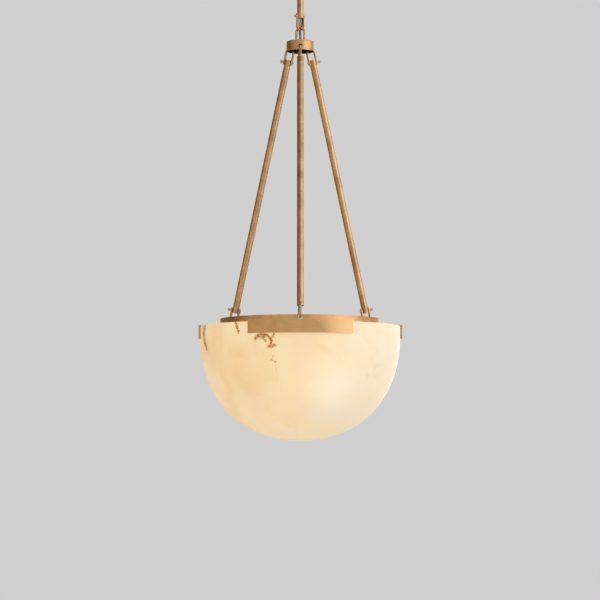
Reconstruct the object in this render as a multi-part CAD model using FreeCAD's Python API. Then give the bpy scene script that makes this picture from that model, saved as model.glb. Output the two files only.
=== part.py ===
"""Alabaster bowl pendant, as an assembly of separate pieces, in millimetres.

+Z is up and the origin is the centre of the outlet-box screw pattern, in the ceiling plane, so
everything hangs at negative z. Azimuth 0 is the front (-Y), and it grows towards +X. Each level is
placed under the one that carries it: canopy, swivel, stem, link, hub, three hangers, ring, bowl.
"""

import FreeCAD, Part
import math
import os

V = FreeCAD.Vector
UP, DOWN = V(0, 0, 1), V(0, 0, -1)

# ---- Canopy and what is inside it
CANOPY_R = 63.5
CANOPY_H = 28.0
CANOPY_WALL = 1.5
CANOPY_ROUND = 7.0
BAR_T = 2.5
BAR_WIDTH = 20.0
BAR_DROP = 14.0
BAR_MID = 38.0
BAR_FOOT = 15.0
BOX_SCREW_SPACING = 88.9
BOX_SLOT_R = 2.4
BOX_SLOT_LENGTH = 9.0
STUD_SPACING = 60.0
STUD_R = 2.0
KNOB_R = 5.5
KNOB_DROP = 4.4
STUD_IN_KNOB = 4.95
KNOB_NECK_R = 3.4
KNOB_NECK = 2.0
GROUND_SCREW_X = -16.0
GROUND_SCREW_R = 2.1
GROUND_HEAD_R = 4.2
GROUND_HEAD = 2.0
NIPPLE_R = 5.1
NIPPLE_BORE = 3.6
NIPPLE_NUT_AF = 16.0
NIPPLE_NUT_T = 3.5
NIPPLE_STAND = 1.0
CONNECTOR_R = 5.0
CONNECTOR_TIP_R = 3.2
CONNECTOR_LENGTH = 17.0
CONNECTOR_SPACING = 13.0
CONNECTOR_FORWARD = 30.0
CONNECTOR_STAGGER = 3.0

# ---- Swivel
HEAD_R = 14.0
HEAD_H = 16.0
HEAD_ROOF = 5.0
HEAD_CAVITY_R = 10.5
RETAINER_T = 4.0
TRUNNION_R = 6.6
TRUNNION_BORE = 4.0
FLANGE_R = 9.6
FLANGE_T = 3.0
THRUST_GAP = 0.1
CROWN_T = 4.0
CROWN_R = 14.0
CROWN_GAP = 0.6
KNUCKLE_R = 10.0
KNUCKLE_T = 10.0
CHEEK_T = 4.0
CHEEK_GAP = 0.3
SWIVEL_PIN_R = 2.5
SWIVEL_PIN_HEAD_R = 4.0
SWIVEL_PIN_HEAD = 1.6
KNUCKLE_GAP = 8.0
CHANNEL_R = 2.5
CHANNEL_X = 6.1
COLLAR_R = 10.5
COLLAR_H = 19.0
COLLAR_BELOW_PIN = 13.0
COLLAR_ROOF = 7.0

# ---- Stem and hanger rods
STEM_R = 7.5
STEM_LENGTH = 152.4
ROD_R = 7.7
ROD_LENGTH = 600.0
TUBE_WALL = 1.2
PIN_SETBACK = 5.6

# ---- Strap shackles of the hangers, and the cross pins of all seven shackles
STRAP_W = 6.0
STRAP_T = 4.0
STRAP_EDGE = 1.5
SHACKLE_REACH = 22.2
SHACKLE_TAIL = 6.5
PIN_R = 1.8
PIN_KNOB_R = 3.3
PIN_KNOB_STANDOFF = 3.8
PIN_KNOB_DROP = 2.31
PIN_NECK_R = 2.5
PIN_END_R = 2.6
PIN_END = 1.3

# ---- The lighter shackle that links the stem to the hub's loop
LINK_STRAP_W = 5.5
LINK_STRAP_T = 3.0
LINK_STRAP_EDGE = 1.2
LINK_REACH = 22.8
LINK_SETBACK = 4.2
LINK_KNOB_STANDOFF = 1.4
LINK_YAW = 38.0

# ---- Hub
LOOP_BAR_R = 2.65
LOOP_SPACING = 20.4
LOOP_RISE = 32.0
LOOP_YAW = -25.0
LOOP_SEAT_GAP = 0.2
LOOP_NUT_AF = 8.6
LOOP_NUT_T = 4.0
LOOP_THREAD = 5.5
HUB_R = 32.0
HUB_H = 23.0
HUB_WALL = 2.5
HUB_TOP = 3.0
HUB_ROUND = 1.4
HUB_HOLE_DROP = 14.2
GROMMET_BORE = 3.4
GROMMET_HOLE_R = 5.0
GROMMET_FLANGE_R = 6.4
GROMMET_FLANGE_T = 1.2

# ---- Alabaster bowl
BOWL_R = 228.6
BOWL_DEPTH = 260.1
BOWL_SKIRT = 15.4
BOWL_WALL = 10.0
BOWL_POWER = 2.2
BOWL_STATIONS = (0.0, 30.0, 60.0, 90.0)
BOWL_RIM_BEVEL = 1.5
RING_ABOVE_RIM = 16.8

# ---- Light ring and pan plate; the ring stands a fixed way in from the bowl's outside
HANGERS = ("front", "right", "left")
EYE_R = 4.5
BEND_INSET = 2.7
SEAT_GAP = 0.3
RING_INSET = 45.0
RING_R = BOWL_R - RING_INSET
RING_WALL = 3.0
RING_H = 40.0
RING_EYE_DROP = 6.0
LEDGE_DROP = 26.0
LEDGE_WIDTH = 12.6
LEDGE_T = 2.5
PAN_T = 2.0
PAN_GAP = 0.3
PAN_SCREW_COUNT = 6
PAN_SCREW_INSET = 8.0
PAN_SCREW_R = 1.5
PAN_SCREW_HEAD_R = 3.2
PAN_SCREW_HEAD = 1.8

# ---- Rim clips, brackets and their fasteners
CLIP_T = 3.3
CLIP_H = 30.2
CLIP_HALF_ANGLE = 30.0
CLIP_STAND = 3.9
CLIP_LIP = 11.0
CLIP_LIP_T = 2.5
GASKET_T = 1.5
GASKET_INSET_ANGLE = 0.5
PAD_EASE = 0.15
BRACKET_T = 3.0
BRACKET_HALF_ANGLE = 9.0
BRACKET_DROP = 4.0
BRACKET_LEG = 22.0
CLIP_STUD_R = 2.5
CLIP_STUD_ANGLE = 6.0
CLIP_STUD_DROP = 12.0
CLIP_STUD_SINK = 2.0
CLIP_STUD_END = 3.0
CLIP_NUT_AF = 8.0
CLIP_NUT_T = 4.0
RING_SCREW_R = 2.0
RING_SCREW_HEAD_R = 3.8
RING_SCREW_HEAD = 2.2
RING_SCREW_DROP = 17.0
RING_NUT_AF = 7.0
RING_NUT_T = 3.0

# ---- Lamps
LAMP_COUNT = 3
LAMP_CIRCLE_R = 80.0
LAMP_FIRST_ANGLE = 60.0
LAMP_NIPPLE_R = 5.0
LAMP_NIPPLE_BORE = 3.4
LAMP_NIPPLE_STAND = 7.0
LAMP_NIPPLE_BELOW = 12.0
LAMP_NUT_AF = 14.0
LAMP_NUT_T = 3.0
HOLDER_R = 20.5
HOLDER_H = 18.0
HOLDER_WALL = 1.2
SOCKET_R = 18.5
SOCKET_H = 44.0
SHELL_R = 14.2
SHELL_WALL = 0.8
SHELL_H = 22.0
SHELL_SINK = 1.5
SHELL_HEADROOM = 3.0
BULB_CAP_R = 12.9
BULB_R = 30.0
BULB_LENGTH = 112.0
BULB_CAP_H = 24.0
BULB_NECK_R = 13.6
BULB_SHOULDER_ANGLE = 38.0

# ---- Insulated leads
LEAD_R = 0.9
LEAD_PITCH = 2.0
LEAD_GAP = 0.3
STEM_LEAD_X = -1.2
STEM_LEAD_Y = 4.2
ROD_LEAD_X = -3.2
ROD_LEAD_END = 8.0
BUNDLE_R = 1.9
LAMP_LEAD_R = 1.1
SPLICE_SPACING = 16.0

# ---- Running and assembly clearances
STRAP_GAP = 0.2
PIN_CLEAR = 0.06
THREAD_CLEAR = 0.04
HOLE_CLEAR = 0.3
NUT_GAP = 0.1

# ---- An arc takes this share of the shorter run beside its corner
ARC_SHARE = 0.45

NODES = {}


# ---------------------------------------------------------------- helpers
def polar(r, az, z):
    """A point at radius r and azimuth az, in degrees from the front."""
    a = math.radians(az)
    return V(r * math.sin(a), -r * math.cos(a), z)


def tube(r, bore, base, direction, length):
    """A round tube, or a solid bar where bore is 0."""
    body = Part.makeCylinder(r, length, base, direction)
    if bore > 0:
        body = body.cut(Part.makeCylinder(bore, length, base, direction))
    return body


def hexagon(across_flats, length, base, direction, bore=0.0):
    """A hexagonal nut with its first face at base."""
    corner = across_flats / math.sqrt(3)
    angles = [math.radians(60 * k) for k in range(7)]
    rim = Part.makePolygon([V(corner * math.cos(a), corner * math.sin(a), 0) for a in angles])
    nut = Part.Face(rim).extrude(V(0, 0, length))
    if bore > 0:
        nut = nut.cut(Part.makeCylinder(bore, length))
    nut.Placement = FreeCAD.Placement(base, FreeCAD.Rotation(UP, direction))
    return nut


def turned(points, arcs=()):
    """A solid of revolution about Z. Points are (r, z); arcs maps a point's index to its fillet."""
    wire = Part.makePolygon([V(r, 0, z) for r, z in points + points[:1]])
    solid = Part.Face(wire).revolve(V(0, 0, 0), UP, 360)
    for index, radius in arcs:
        r, z = points[index]
        edges = [e for e in solid.Edges if on_circle(e, r, z)]
        solid = solid.makeFillet(radius, edges)
    return solid


def on_circle(edge, r, z):
    """Whether an edge is the circle of radius r about Z at height z."""
    if edge.Degenerated:
        return False
    curve = edge.Curve
    if not isinstance(curve, Part.Circle):
        return False
    return abs(curve.Radius - r) < 1e-6 and abs(curve.Center.z - z) < 1e-6


def sector(r0, r1, z0, z1, half_angle, az):
    """A curved plate between two radii and two heights, centred at azimuth az."""
    corners = [V(r0, 0, z0), V(r1, 0, z0), V(r1, 0, z1), V(r0, 0, z1), V(r0, 0, z0)]
    plate = Part.Face(Part.makePolygon(corners)).revolve(V(0, 0, 0), UP, 2 * half_angle)
    plate.rotate(V(0, 0, 0), UP, az - half_angle - 90)
    return plate


def radial_bar(r, az, z, start, end):
    """A round bar that lies along a radius, from radius start out to radius end."""
    return Part.makeCylinder(r, end - start, polar(start, az, z), polar(1, az, 0))


def fused(shapes):
    """One clean solid from several that touch or overlap."""
    return shapes[0].multiFuse(shapes[1:]).removeSplitter()


def placed(shape, origin, z_axis, x_axis):
    """A copy of a shape, moved from the world axes to a frame at origin."""
    y_axis = z_axis.cross(x_axis)
    rows = [[x_axis[i], y_axis[i], z_axis[i], origin[i]] for i in range(3)]
    matrix = FreeCAD.Matrix(*[n for row in rows for n in row], 0, 0, 0, 1)
    return shape.transformed(matrix)


def keep(node, *shapes):
    """Record a node's solids."""
    solids = [s for shape in shapes for s in shape.Solids]
    NODES[node] = solids[0] if len(solids) == 1 else Part.makeCompound(solids)


def cord(points, r):
    """A tube of straight runs joined by tangent arcs: solid, least radius, volume ratio, length."""
    points = [V(*p) for p in points]
    edges, here, bends = [], points[0], []
    for before, corner, after in zip(points, points[1:], points[2:]):
        a, b = (before - corner).normalize(), (after - corner).normalize()
        shorter = min((before - corner).Length, (after - corner).Length)
        cut = ARC_SHARE * shorter
        half = math.acos(max(-1.0, min(1.0, a.dot(b)))) / 2
        bends.append(cut * math.tan(half))
        start, end = corner + a * cut, corner + b * cut
        middle_way = (a + b).normalize()
        centre = corner + middle_way * (cut / math.cos(half))
        middle = centre - middle_way * bends[-1]
        edges.append(Part.LineSegment(here, start).toShape())
        edges.append(Part.Arc(start, middle, end).toShape())
        here = end
    edges.append(Part.LineSegment(here, points[-1]).toShape())
    path = Part.Wire(edges)
    section = Part.Wire(Part.makeCircle(r, points[0], points[1] - points[0]))
    solid = path.makePipeShell([section], True, False)
    ratio = solid.Volume / (math.pi * r * r * path.Length)
    return solid, min(bends) if bends else 0.0, ratio, path.Length


def report_cord(name, made):
    """Print a cord's length, smallest radius and the check of its volume."""
    print(f"{name}: length {made[3]:.1f}, smallest bend radius {made[1]:.1f}, volume ratio {made[2]:.4f}")


# ---------------------------------------------------------------- heights, from the ceiling down
CANOPY_Z = -CANOPY_H
BAR_TOP = -BAR_DROP
BAR_UNDER = BAR_TOP - BAR_T
HEAD_Z = CANOPY_Z - HEAD_H
CROWN_Z = HEAD_Z - CROWN_GAP
SWIVEL_PIN_Z = CROWN_Z - CROWN_T - KNUCKLE_GAP - KNUCKLE_R
COLLAR_TOP = SWIVEL_PIN_Z - COLLAR_BELOW_PIN
STEM_TOP = COLLAR_TOP - COLLAR_ROOF
STEM_END = STEM_TOP - STEM_LENGTH
LINK_PIN_Z = STEM_END + LINK_SETBACK
LINK_BEND_Z = LINK_PIN_Z - LINK_REACH
LINK_INNER = STEM_R + STRAP_GAP
BEND_INNER = ROD_R + STRAP_GAP
LOOP_R = LOOP_SPACING / 2


# ---------------------------------------------------------------- a strap shackle and its pin
def shackle(inner, width, thick, edge, reach):
    """A U of strap: bend centre at the origin, legs up along +Z, pin holes along X."""
    outer, leg = inner + thick, reach + SHACKLE_TAIL
    side_y = -width / 2
    bend = tube(outer, inner, V(0, side_y, 0), V(0, 1, 0), width)
    lower = Part.makeBox(4 * outer, width, 2 * outer, V(-2 * outer, side_y, -2 * outer))
    pieces = [bend.common(lower)]
    for corner in (inner, -outer):
        pieces.append(Part.makeBox(thick, width, leg, V(corner, side_y, 0)))
    strap = fused(pieces)
    long_edges = [e for e in strap.Edges if e.BoundBox.YLength < 1e-6 and e.BoundBox.ZMin < leg - 1e-3]
    strap = strap.makeFillet(edge, long_edges)
    hole = Part.makeCylinder(PIN_R + PIN_CLEAR, 4 * outer, V(-2 * outer, 0, reach), V(1, 0, 0))
    return strap.cut(hole)


def cross_pin(face, standoff, reach):
    """The pin through a shackle whose outsides are at +-face, with its knob on the +X side."""
    shank = Part.makeCylinder(PIN_R, 2 * face + standoff, V(-face, 0, 0), V(1, 0, 0))
    neck = Part.makeCylinder(PIN_NECK_R, standoff, V(face, 0, 0), V(1, 0, 0))
    knob = Part.makeSphere(PIN_KNOB_R, V(face + standoff + PIN_KNOB_DROP, 0, 0))
    end = Part.makeCylinder(PIN_END_R, PIN_END, V(-face - PIN_END, 0, 0), V(1, 0, 0))
    pin = fused([shank, neck, knob, end])
    pin.translate(V(0, 0, reach))
    return pin


def hub_loop(apex_z):
    """An inverted U of round bar, its apex centreline at apex_z, its legs down through the hub top."""
    centre_z = apex_z - LOOP_R
    foot_z = apex_z - LOOP_RISE - HUB_TOP - LOOP_THREAD
    ring = Part.makeTorus(LOOP_R, LOOP_BAR_R, V(0, 0, centre_z), V(0, 1, 0))
    upper = Part.makeBox(4 * LOOP_R, 2 * LOOP_R, 2 * LOOP_R, V(-2 * LOOP_R, -LOOP_R, centre_z))
    pieces = [ring.common(upper)]
    for side in (-1, 1):
        pieces.append(Part.makeCylinder(LOOP_BAR_R, centre_z - foot_z, V(side * LOOP_R, 0, foot_z)))
    loop = fused(pieces)
    loop.rotate(V(0, 0, 0), UP, LOOP_YAW)
    return loop


def hung_apex(link):
    """The height at which the loop hangs in the link's bend with its seat gap."""
    apex = LINK_BEND_Z
    loop = hub_loop(apex)
    for _ in range(8):
        fall = link.distToShape(loop)[0] - LOOP_SEAT_GAP
        if fall < 0.01:
            break
        loop.translate(V(0, 0, -fall))
        apex -= fall
    return apex


SHACKLE = shackle(BEND_INNER, STRAP_W, STRAP_T, STRAP_EDGE, SHACKLE_REACH)
CROSS_PIN = cross_pin(BEND_INNER + STRAP_T, PIN_KNOB_STANDOFF, SHACKLE_REACH)
LINK_X = V(-math.cos(math.radians(LINK_YAW)), -math.sin(math.radians(LINK_YAW)), 0)
LINK_SHACKLE = shackle(LINK_INNER, LINK_STRAP_W, LINK_STRAP_T, LINK_STRAP_EDGE, LINK_REACH)
LINK_PIN = cross_pin(LINK_INNER + LINK_STRAP_T, LINK_KNOB_STANDOFF, LINK_REACH)
LINK = placed(LINK_SHACKLE, V(0, 0, LINK_BEND_Z), UP, LINK_X)
LOOP_APEX = hung_apex(LINK)

# ---- Heights below the link, each hung from the one above
HUB_TOP_Z = LOOP_APEX - LOOP_RISE
HUB_Z = HUB_TOP_Z - HUB_H
HUB_EYE_Z = HUB_TOP_Z - HUB_HOLE_DROP
EYE_CHORD = math.sqrt(EYE_R**2 - (STRAP_W / 2) ** 2)


def bend_depth(wall):
    """How far the bend's inside has fallen from its centre where it crosses a wall's outer face."""
    return math.sqrt(BEND_INNER**2 - (wall / 2 + BEND_INSET) ** 2)


HUB_BEND_Z = HUB_EYE_Z - EYE_CHORD + SEAT_GAP - bend_depth(HUB_WALL)
HUB_BEND_R = HUB_R - HUB_WALL / 2 - BEND_INSET
RING_BEND_R = RING_R - RING_WALL / 2 - BEND_INSET
HANGER_LENGTH = ROD_LENGTH + 2 * (SHACKLE_REACH - PIN_SETBACK)
HANGER_DROP = math.sqrt(HANGER_LENGTH**2 - (RING_BEND_R - HUB_BEND_R) ** 2)
RING_BEND_Z = HUB_BEND_Z - HANGER_DROP
RING_EYE_Z = RING_BEND_Z - bend_depth(RING_WALL) - EYE_CHORD + SEAT_GAP
RING_TOP_Z = RING_EYE_Z + RING_EYE_DROP
RIM_Z = RING_TOP_Z - RING_ABOVE_RIM
BOWL_Z = RIM_Z - BOWL_DEPTH
PAN_Z = RING_TOP_Z - LEDGE_DROP
PAN_TOP = PAN_Z + PAN_T


# ---------------------------------------------------------------- ceiling end
def canopy():
    """A spun cup with its mouth up, holes for the nipple and the two studs in its floor."""
    inner = CANOPY_R - CANOPY_WALL
    floor = CANOPY_Z + CANOPY_WALL
    outside = turned([(0, CANOPY_Z), (CANOPY_R, CANOPY_Z), (CANOPY_R, 0), (0, 0)], [(1, CANOPY_ROUND)])
    points = [(0, floor), (inner, floor), (inner, 0), (0, 0)]
    inside = turned(points, [(1, CANOPY_ROUND - CANOPY_WALL)])
    shell = outside.cut(inside)
    holes = [Part.makeCylinder(NIPPLE_R + HOLE_CLEAR, CANOPY_H, V(0, 0, CANOPY_Z))]
    for side in (-1, 1):
        spot = V(side * STUD_SPACING / 2, 0, CANOPY_Z)
        holes.append(Part.makeCylinder(STUD_R + HOLE_CLEAR, CANOPY_H, spot))
    return shell.cut(Part.makeCompound(holes))


def crossbar():
    """A strap whose feet lie on the ceiling and whose middle is offset down into the canopy."""
    y = -BAR_WIDTH / 2
    pieces = [Part.makeBox(2 * BAR_MID, BAR_WIDTH, BAR_T, V(-BAR_MID, y, BAR_UNDER))]
    cuts = [Part.makeCylinder(NIPPLE_R + THREAD_CLEAR, BAR_DROP, V(0, 0, BAR_UNDER - 1))]
    for side in (-1, 1):
        web_x = side * BAR_MID - (0 if side > 0 else BAR_T)
        pieces.append(Part.makeBox(BAR_T, BAR_WIDTH, -BAR_UNDER, V(web_x, y, BAR_UNDER)))
        foot_x = BAR_MID if side > 0 else -BAR_MID - BAR_FOOT
        pieces.append(Part.makeBox(BAR_FOOT, BAR_WIDTH, BAR_T, V(foot_x, y, -BAR_T)))
        slide = BOX_SLOT_LENGTH / 2 - BOX_SLOT_R
        centre = side * BOX_SCREW_SPACING / 2
        for end in (-slide, slide):
            cuts.append(Part.makeCylinder(BOX_SLOT_R, BAR_DROP, V(centre + end, 0, -BAR_T - 1)))
        gap = V(centre - slide, -BOX_SLOT_R, -BAR_T - 1)
        cuts.append(Part.makeBox(2 * slide, 2 * BOX_SLOT_R, BAR_DROP, gap))
        stud = V(side * STUD_SPACING / 2, 0, BAR_UNDER - 1)
        cuts.append(Part.makeCylinder(STUD_R + THREAD_CLEAR, BAR_DROP, stud))
    ground = V(GROUND_SCREW_X, 0, BAR_UNDER - 1)
    cuts.append(Part.makeCylinder(GROUND_SCREW_R + THREAD_CLEAR, BAR_DROP, ground))
    return fused(pieces).cut(fused(cuts))


def canopy_knob(x):
    """A ball nut under the canopy, bored for its stud."""
    neck = Part.makeCylinder(KNOB_NECK_R, KNOB_NECK, V(x, 0, CANOPY_Z - KNOB_NECK))
    ball = Part.makeSphere(KNOB_R, V(x, 0, CANOPY_Z - KNOB_NECK - KNOB_DROP))
    bottom = V(x, 0, CANOPY_Z - KNOB_NECK - KNOB_R)
    bore = Part.makeCylinder(STUD_R + THREAD_CLEAR, KNOB_R + KNOB_NECK, bottom)
    return fused([neck, ball]).cut(bore)


def connector(mouth, direction):
    """A wire connector, a short cone closed round the leads at its mouth."""
    return Part.makeCone(CONNECTOR_R, CONNECTOR_TIP_R, CONNECTOR_LENGTH, mouth, direction)


def ceiling_end():
    """Canopy, crossbar, nipple, studs, knobs, ground screw, supply leads and connectors."""
    keep("canopy", canopy())
    keep("crossbar", crossbar())
    nipple_top = BAR_TOP + NIPPLE_STAND
    nipple_end = CANOPY_Z - HEAD_ROOF
    keep("hanging_nipple", tube(NIPPLE_R, NIPPLE_BORE, V(0, 0, nipple_end), UP, nipple_top - nipple_end))
    bore = NIPPLE_R + THREAD_CLEAR
    keep(
        "nipple_nuts",
        hexagon(NIPPLE_NUT_AF, NIPPLE_NUT_T, V(0, 0, BAR_UNDER - NIPPLE_NUT_T), UP, bore),
        hexagon(NIPPLE_NUT_AF, NIPPLE_NUT_T, V(0, 0, CANOPY_Z + CANOPY_WALL), UP, bore),
    )
    stud_end = CANOPY_Z - KNOB_NECK - STUD_IN_KNOB
    spots = [side * STUD_SPACING / 2 for side in (-1, 1)]
    keep("canopy_studs", *[tube(STUD_R, 0, V(x, 0, stud_end), UP, BAR_TOP + 1 - stud_end) for x in spots])
    keep("canopy_knobs", *[canopy_knob(x) for x in spots])
    shank = tube(GROUND_SCREW_R, 0, V(GROUND_SCREW_X, 0, BAR_UNDER - 2), UP, BAR_T + 2)
    head = tube(GROUND_HEAD_R, 0, V(GROUND_SCREW_X, 0, BAR_TOP), UP, GROUND_HEAD)
    keep("ground_screw", fused([shank, head]))
    connectors, leads = [], []
    low = CANOPY_Z + CANOPY_WALL
    for k, x in enumerate((-CONNECTOR_SPACING, 0.0, CONNECTOR_SPACING)):
        y = -CONNECTOR_FORWARD - CONNECTOR_STAGGER * (k % 2)
        z = low + CONNECTOR_R + 0.2
        connectors.append(connector(V(x, y, z), V(0, -1, 0)))
        start = V((k - 1) * LEAD_PITCH, 0.9 * (k % 2), nipple_end)
        route = [start, V(start.x, start.y, -8.5), V(start.x * 1.8, -7.0, -2.6), V(x * 0.6, -14.0, -7.0)]
        route += [V(x, y + 12.0, z), V(x, y, z)]
        leads.append(cord(route, LEAD_R))
    report_cord("supply_leads", min(leads, key=lambda lead: lead[1]))
    keep("wire_connectors", *connectors)
    keep("supply_leads", *[lead[0] for lead in leads])


# ---------------------------------------------------------------- swivel and stem
def swivel():
    """Head and retainer on the nipple, and the fork that turns in them with its pin."""
    cavity_top = CANOPY_Z - HEAD_ROOF
    head = tube(HEAD_R, NIPPLE_R + THREAD_CLEAR, V(0, 0, HEAD_Z), UP, HEAD_H)
    head = head.cut(Part.makeCylinder(HEAD_CAVITY_R, cavity_top - HEAD_Z, V(0, 0, HEAD_Z)))
    keep("swivel_head", head)
    bore = TRUNNION_R + PIN_CLEAR
    keep("swivel_retainer", tube(HEAD_CAVITY_R - THREAD_CLEAR, bore, V(0, 0, HEAD_Z), UP, RETAINER_T))

    flange_z = HEAD_Z + RETAINER_T + THRUST_GAP
    pin_line = V(0, 0, SWIVEL_PIN_Z)
    half = KNUCKLE_T / 2 + CHEEK_GAP
    crown_bottom = CROWN_Z - CROWN_T
    pieces = [tube(FLANGE_R, 0, V(0, 0, flange_z), UP, FLANGE_T)]
    pieces.append(tube(TRUNNION_R, 0, V(0, 0, crown_bottom), UP, flange_z - crown_bottom))
    pieces.append(tube(CROWN_R, 0, V(0, 0, crown_bottom), UP, CROWN_T))
    for y in (half, -half - CHEEK_T):
        cheek = Part.makeCylinder(KNUCKLE_R, CHEEK_T, pin_line + V(0, y, 0), V(0, 1, 0))
        arm = V(-KNUCKLE_R, y, SWIVEL_PIN_Z)
        pieces += [cheek, Part.makeBox(2 * KNUCKLE_R, CHEEK_T, crown_bottom - SWIVEL_PIN_Z, arm)]
    pin_length = 2 * (half + CHEEK_T)
    hole_start = pin_line - V(0, pin_length / 2 + 1, 0)
    hole = Part.makeCylinder(SWIVEL_PIN_R + THREAD_CLEAR, pin_length + 2, hole_start, V(0, 1, 0))
    bore = Part.makeCylinder(TRUNNION_BORE, flange_z + FLANGE_T - crown_bottom + 2, V(0, 0, crown_bottom - 1))
    keep("swivel_fork", fused(pieces).cut(hole).cut(bore))

    pin = [Part.makeCylinder(SWIVEL_PIN_R, pin_length, pin_line - V(0, pin_length / 2, 0), V(0, 1, 0))]
    for way in (-1, 1):
        face = pin_line + V(0, way * pin_length / 2, 0)
        pin.append(Part.makeCylinder(SWIVEL_PIN_HEAD_R, SWIVEL_PIN_HEAD, face, V(0, way, 0)))
    keep("swivel_pin", fused(pin))


def stem():
    """The knuckle on the fork's pin, and the stem tube screwed into its collar."""
    y = -KNUCKLE_T / 2
    tongue = Part.makeCylinder(KNUCKLE_R, KNUCKLE_T, V(0, y, SWIVEL_PIN_Z), V(0, 1, 0))
    neck = Part.makeBox(2 * KNUCKLE_R, KNUCKLE_T, COLLAR_BELOW_PIN, V(-KNUCKLE_R, y, COLLAR_TOP))
    collar = tube(COLLAR_R, 0, V(0, 0, COLLAR_TOP - COLLAR_H), UP, COLLAR_H)
    pin_hole = Part.makeCylinder(SWIVEL_PIN_R + PIN_CLEAR, KNUCKLE_T, V(0, y, SWIVEL_PIN_Z), V(0, 1, 0))
    depth = COLLAR_H - COLLAR_ROOF
    socket = Part.makeCylinder(STEM_R + THREAD_CLEAR, depth, V(0, 0, COLLAR_TOP - COLLAR_H))
    channel = Part.makeCylinder(CHANNEL_R, COLLAR_BELOW_PIN + 2 * KNUCKLE_R, V(CHANNEL_X, 0, STEM_TOP - 1))
    gallery = Part.makeCone(STEM_R - TUBE_WALL, CHANNEL_R, COLLAR_ROOF, V(0, 0, STEM_TOP))
    reach = Part.makeCylinder(CHANNEL_R, COLLAR_ROOF + CHANNEL_R, V(CHANNEL_X / 2, 0, STEM_TOP))
    knuckle = fused([tongue, neck, collar])
    keep("stem_knuckle", knuckle.cut(fused([pin_hole, socket])).cut(fused([channel, gallery, reach])))

    pipe = tube(STEM_R, STEM_R - TUBE_WALL, V(0, 0, STEM_END), UP, STEM_LENGTH)
    across = LINK_X * (-2 * STEM_R)
    cross_hole = Part.makeCylinder(PIN_R + PIN_CLEAR, 4 * STEM_R, V(0, 0, LINK_PIN_Z) + across, LINK_X)
    keep("stem", pipe.cut(cross_hole))
    bundle_end = STEM_TOP - COLLAR_H
    route = [V(0, 0, CANOPY_Z - HEAD_ROOF - LEAD_GAP), V(0, 0, CROWN_Z - CROWN_T / 3)]
    route += [V(CHANNEL_X, 0, SWIVEL_PIN_Z + KNUCKLE_R), V(CHANNEL_X, 0, COLLAR_TOP + 2)]
    route += [V(CHANNEL_X / 4, 0, STEM_TOP - 6), V(0, 0, bundle_end - 6)]
    bundle = cord(route, BUNDLE_R)
    report_cord("swivel_leads", bundle)
    keep("swivel_leads", bundle[0])
    top, bottom = bundle_end - 6, LINK_PIN_Z + 2 * PIN_R
    keep("stem_leads", *[tube(LEAD_R, 0, V(x, STEM_LEAD_Y, bottom), UP, top - bottom) for x in lead_row()])


# ---------------------------------------------------------------- link and hub
def stem_link():
    """The shackle that hangs from the stem, and the leads that pass beside it."""
    keep("stem_link", LINK)
    keep("stem_link_pin", placed(LINK_PIN, V(0, 0, LINK_BEND_Z), UP, LINK_X))
    mouth = LINK_PIN_Z + 2 * PIN_R
    crossing = LINK_BEND_Z - LINK_INNER - LINK_STRAP_T / 2
    shift = -STEM_LEAD_X
    leads = []
    for x in lead_row():
        route = [V(x, STEM_LEAD_Y, mouth - LEAD_GAP), V(x, STEM_LEAD_Y, STEM_END - 3)]
        route += [V(x, 8.2, crossing + 10), V(x + shift / 2, 8.6, crossing - 4)]
        route += [V(x + shift, 0, HUB_TOP_Z + 10), V(x + shift, 0, HUB_TOP_Z - HUB_TOP)]
        leads.append(cord(route, LEAD_R))
    report_cord("link_leads", min(leads, key=lambda lead: lead[1]))
    keep("link_leads", *[lead[0] for lead in leads])


def lead_row():
    """Where the three leads stand side by side in the stem."""
    return [STEM_LEAD_X + k * LEAD_PITCH for k in (-1, 0, 1)]


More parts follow.
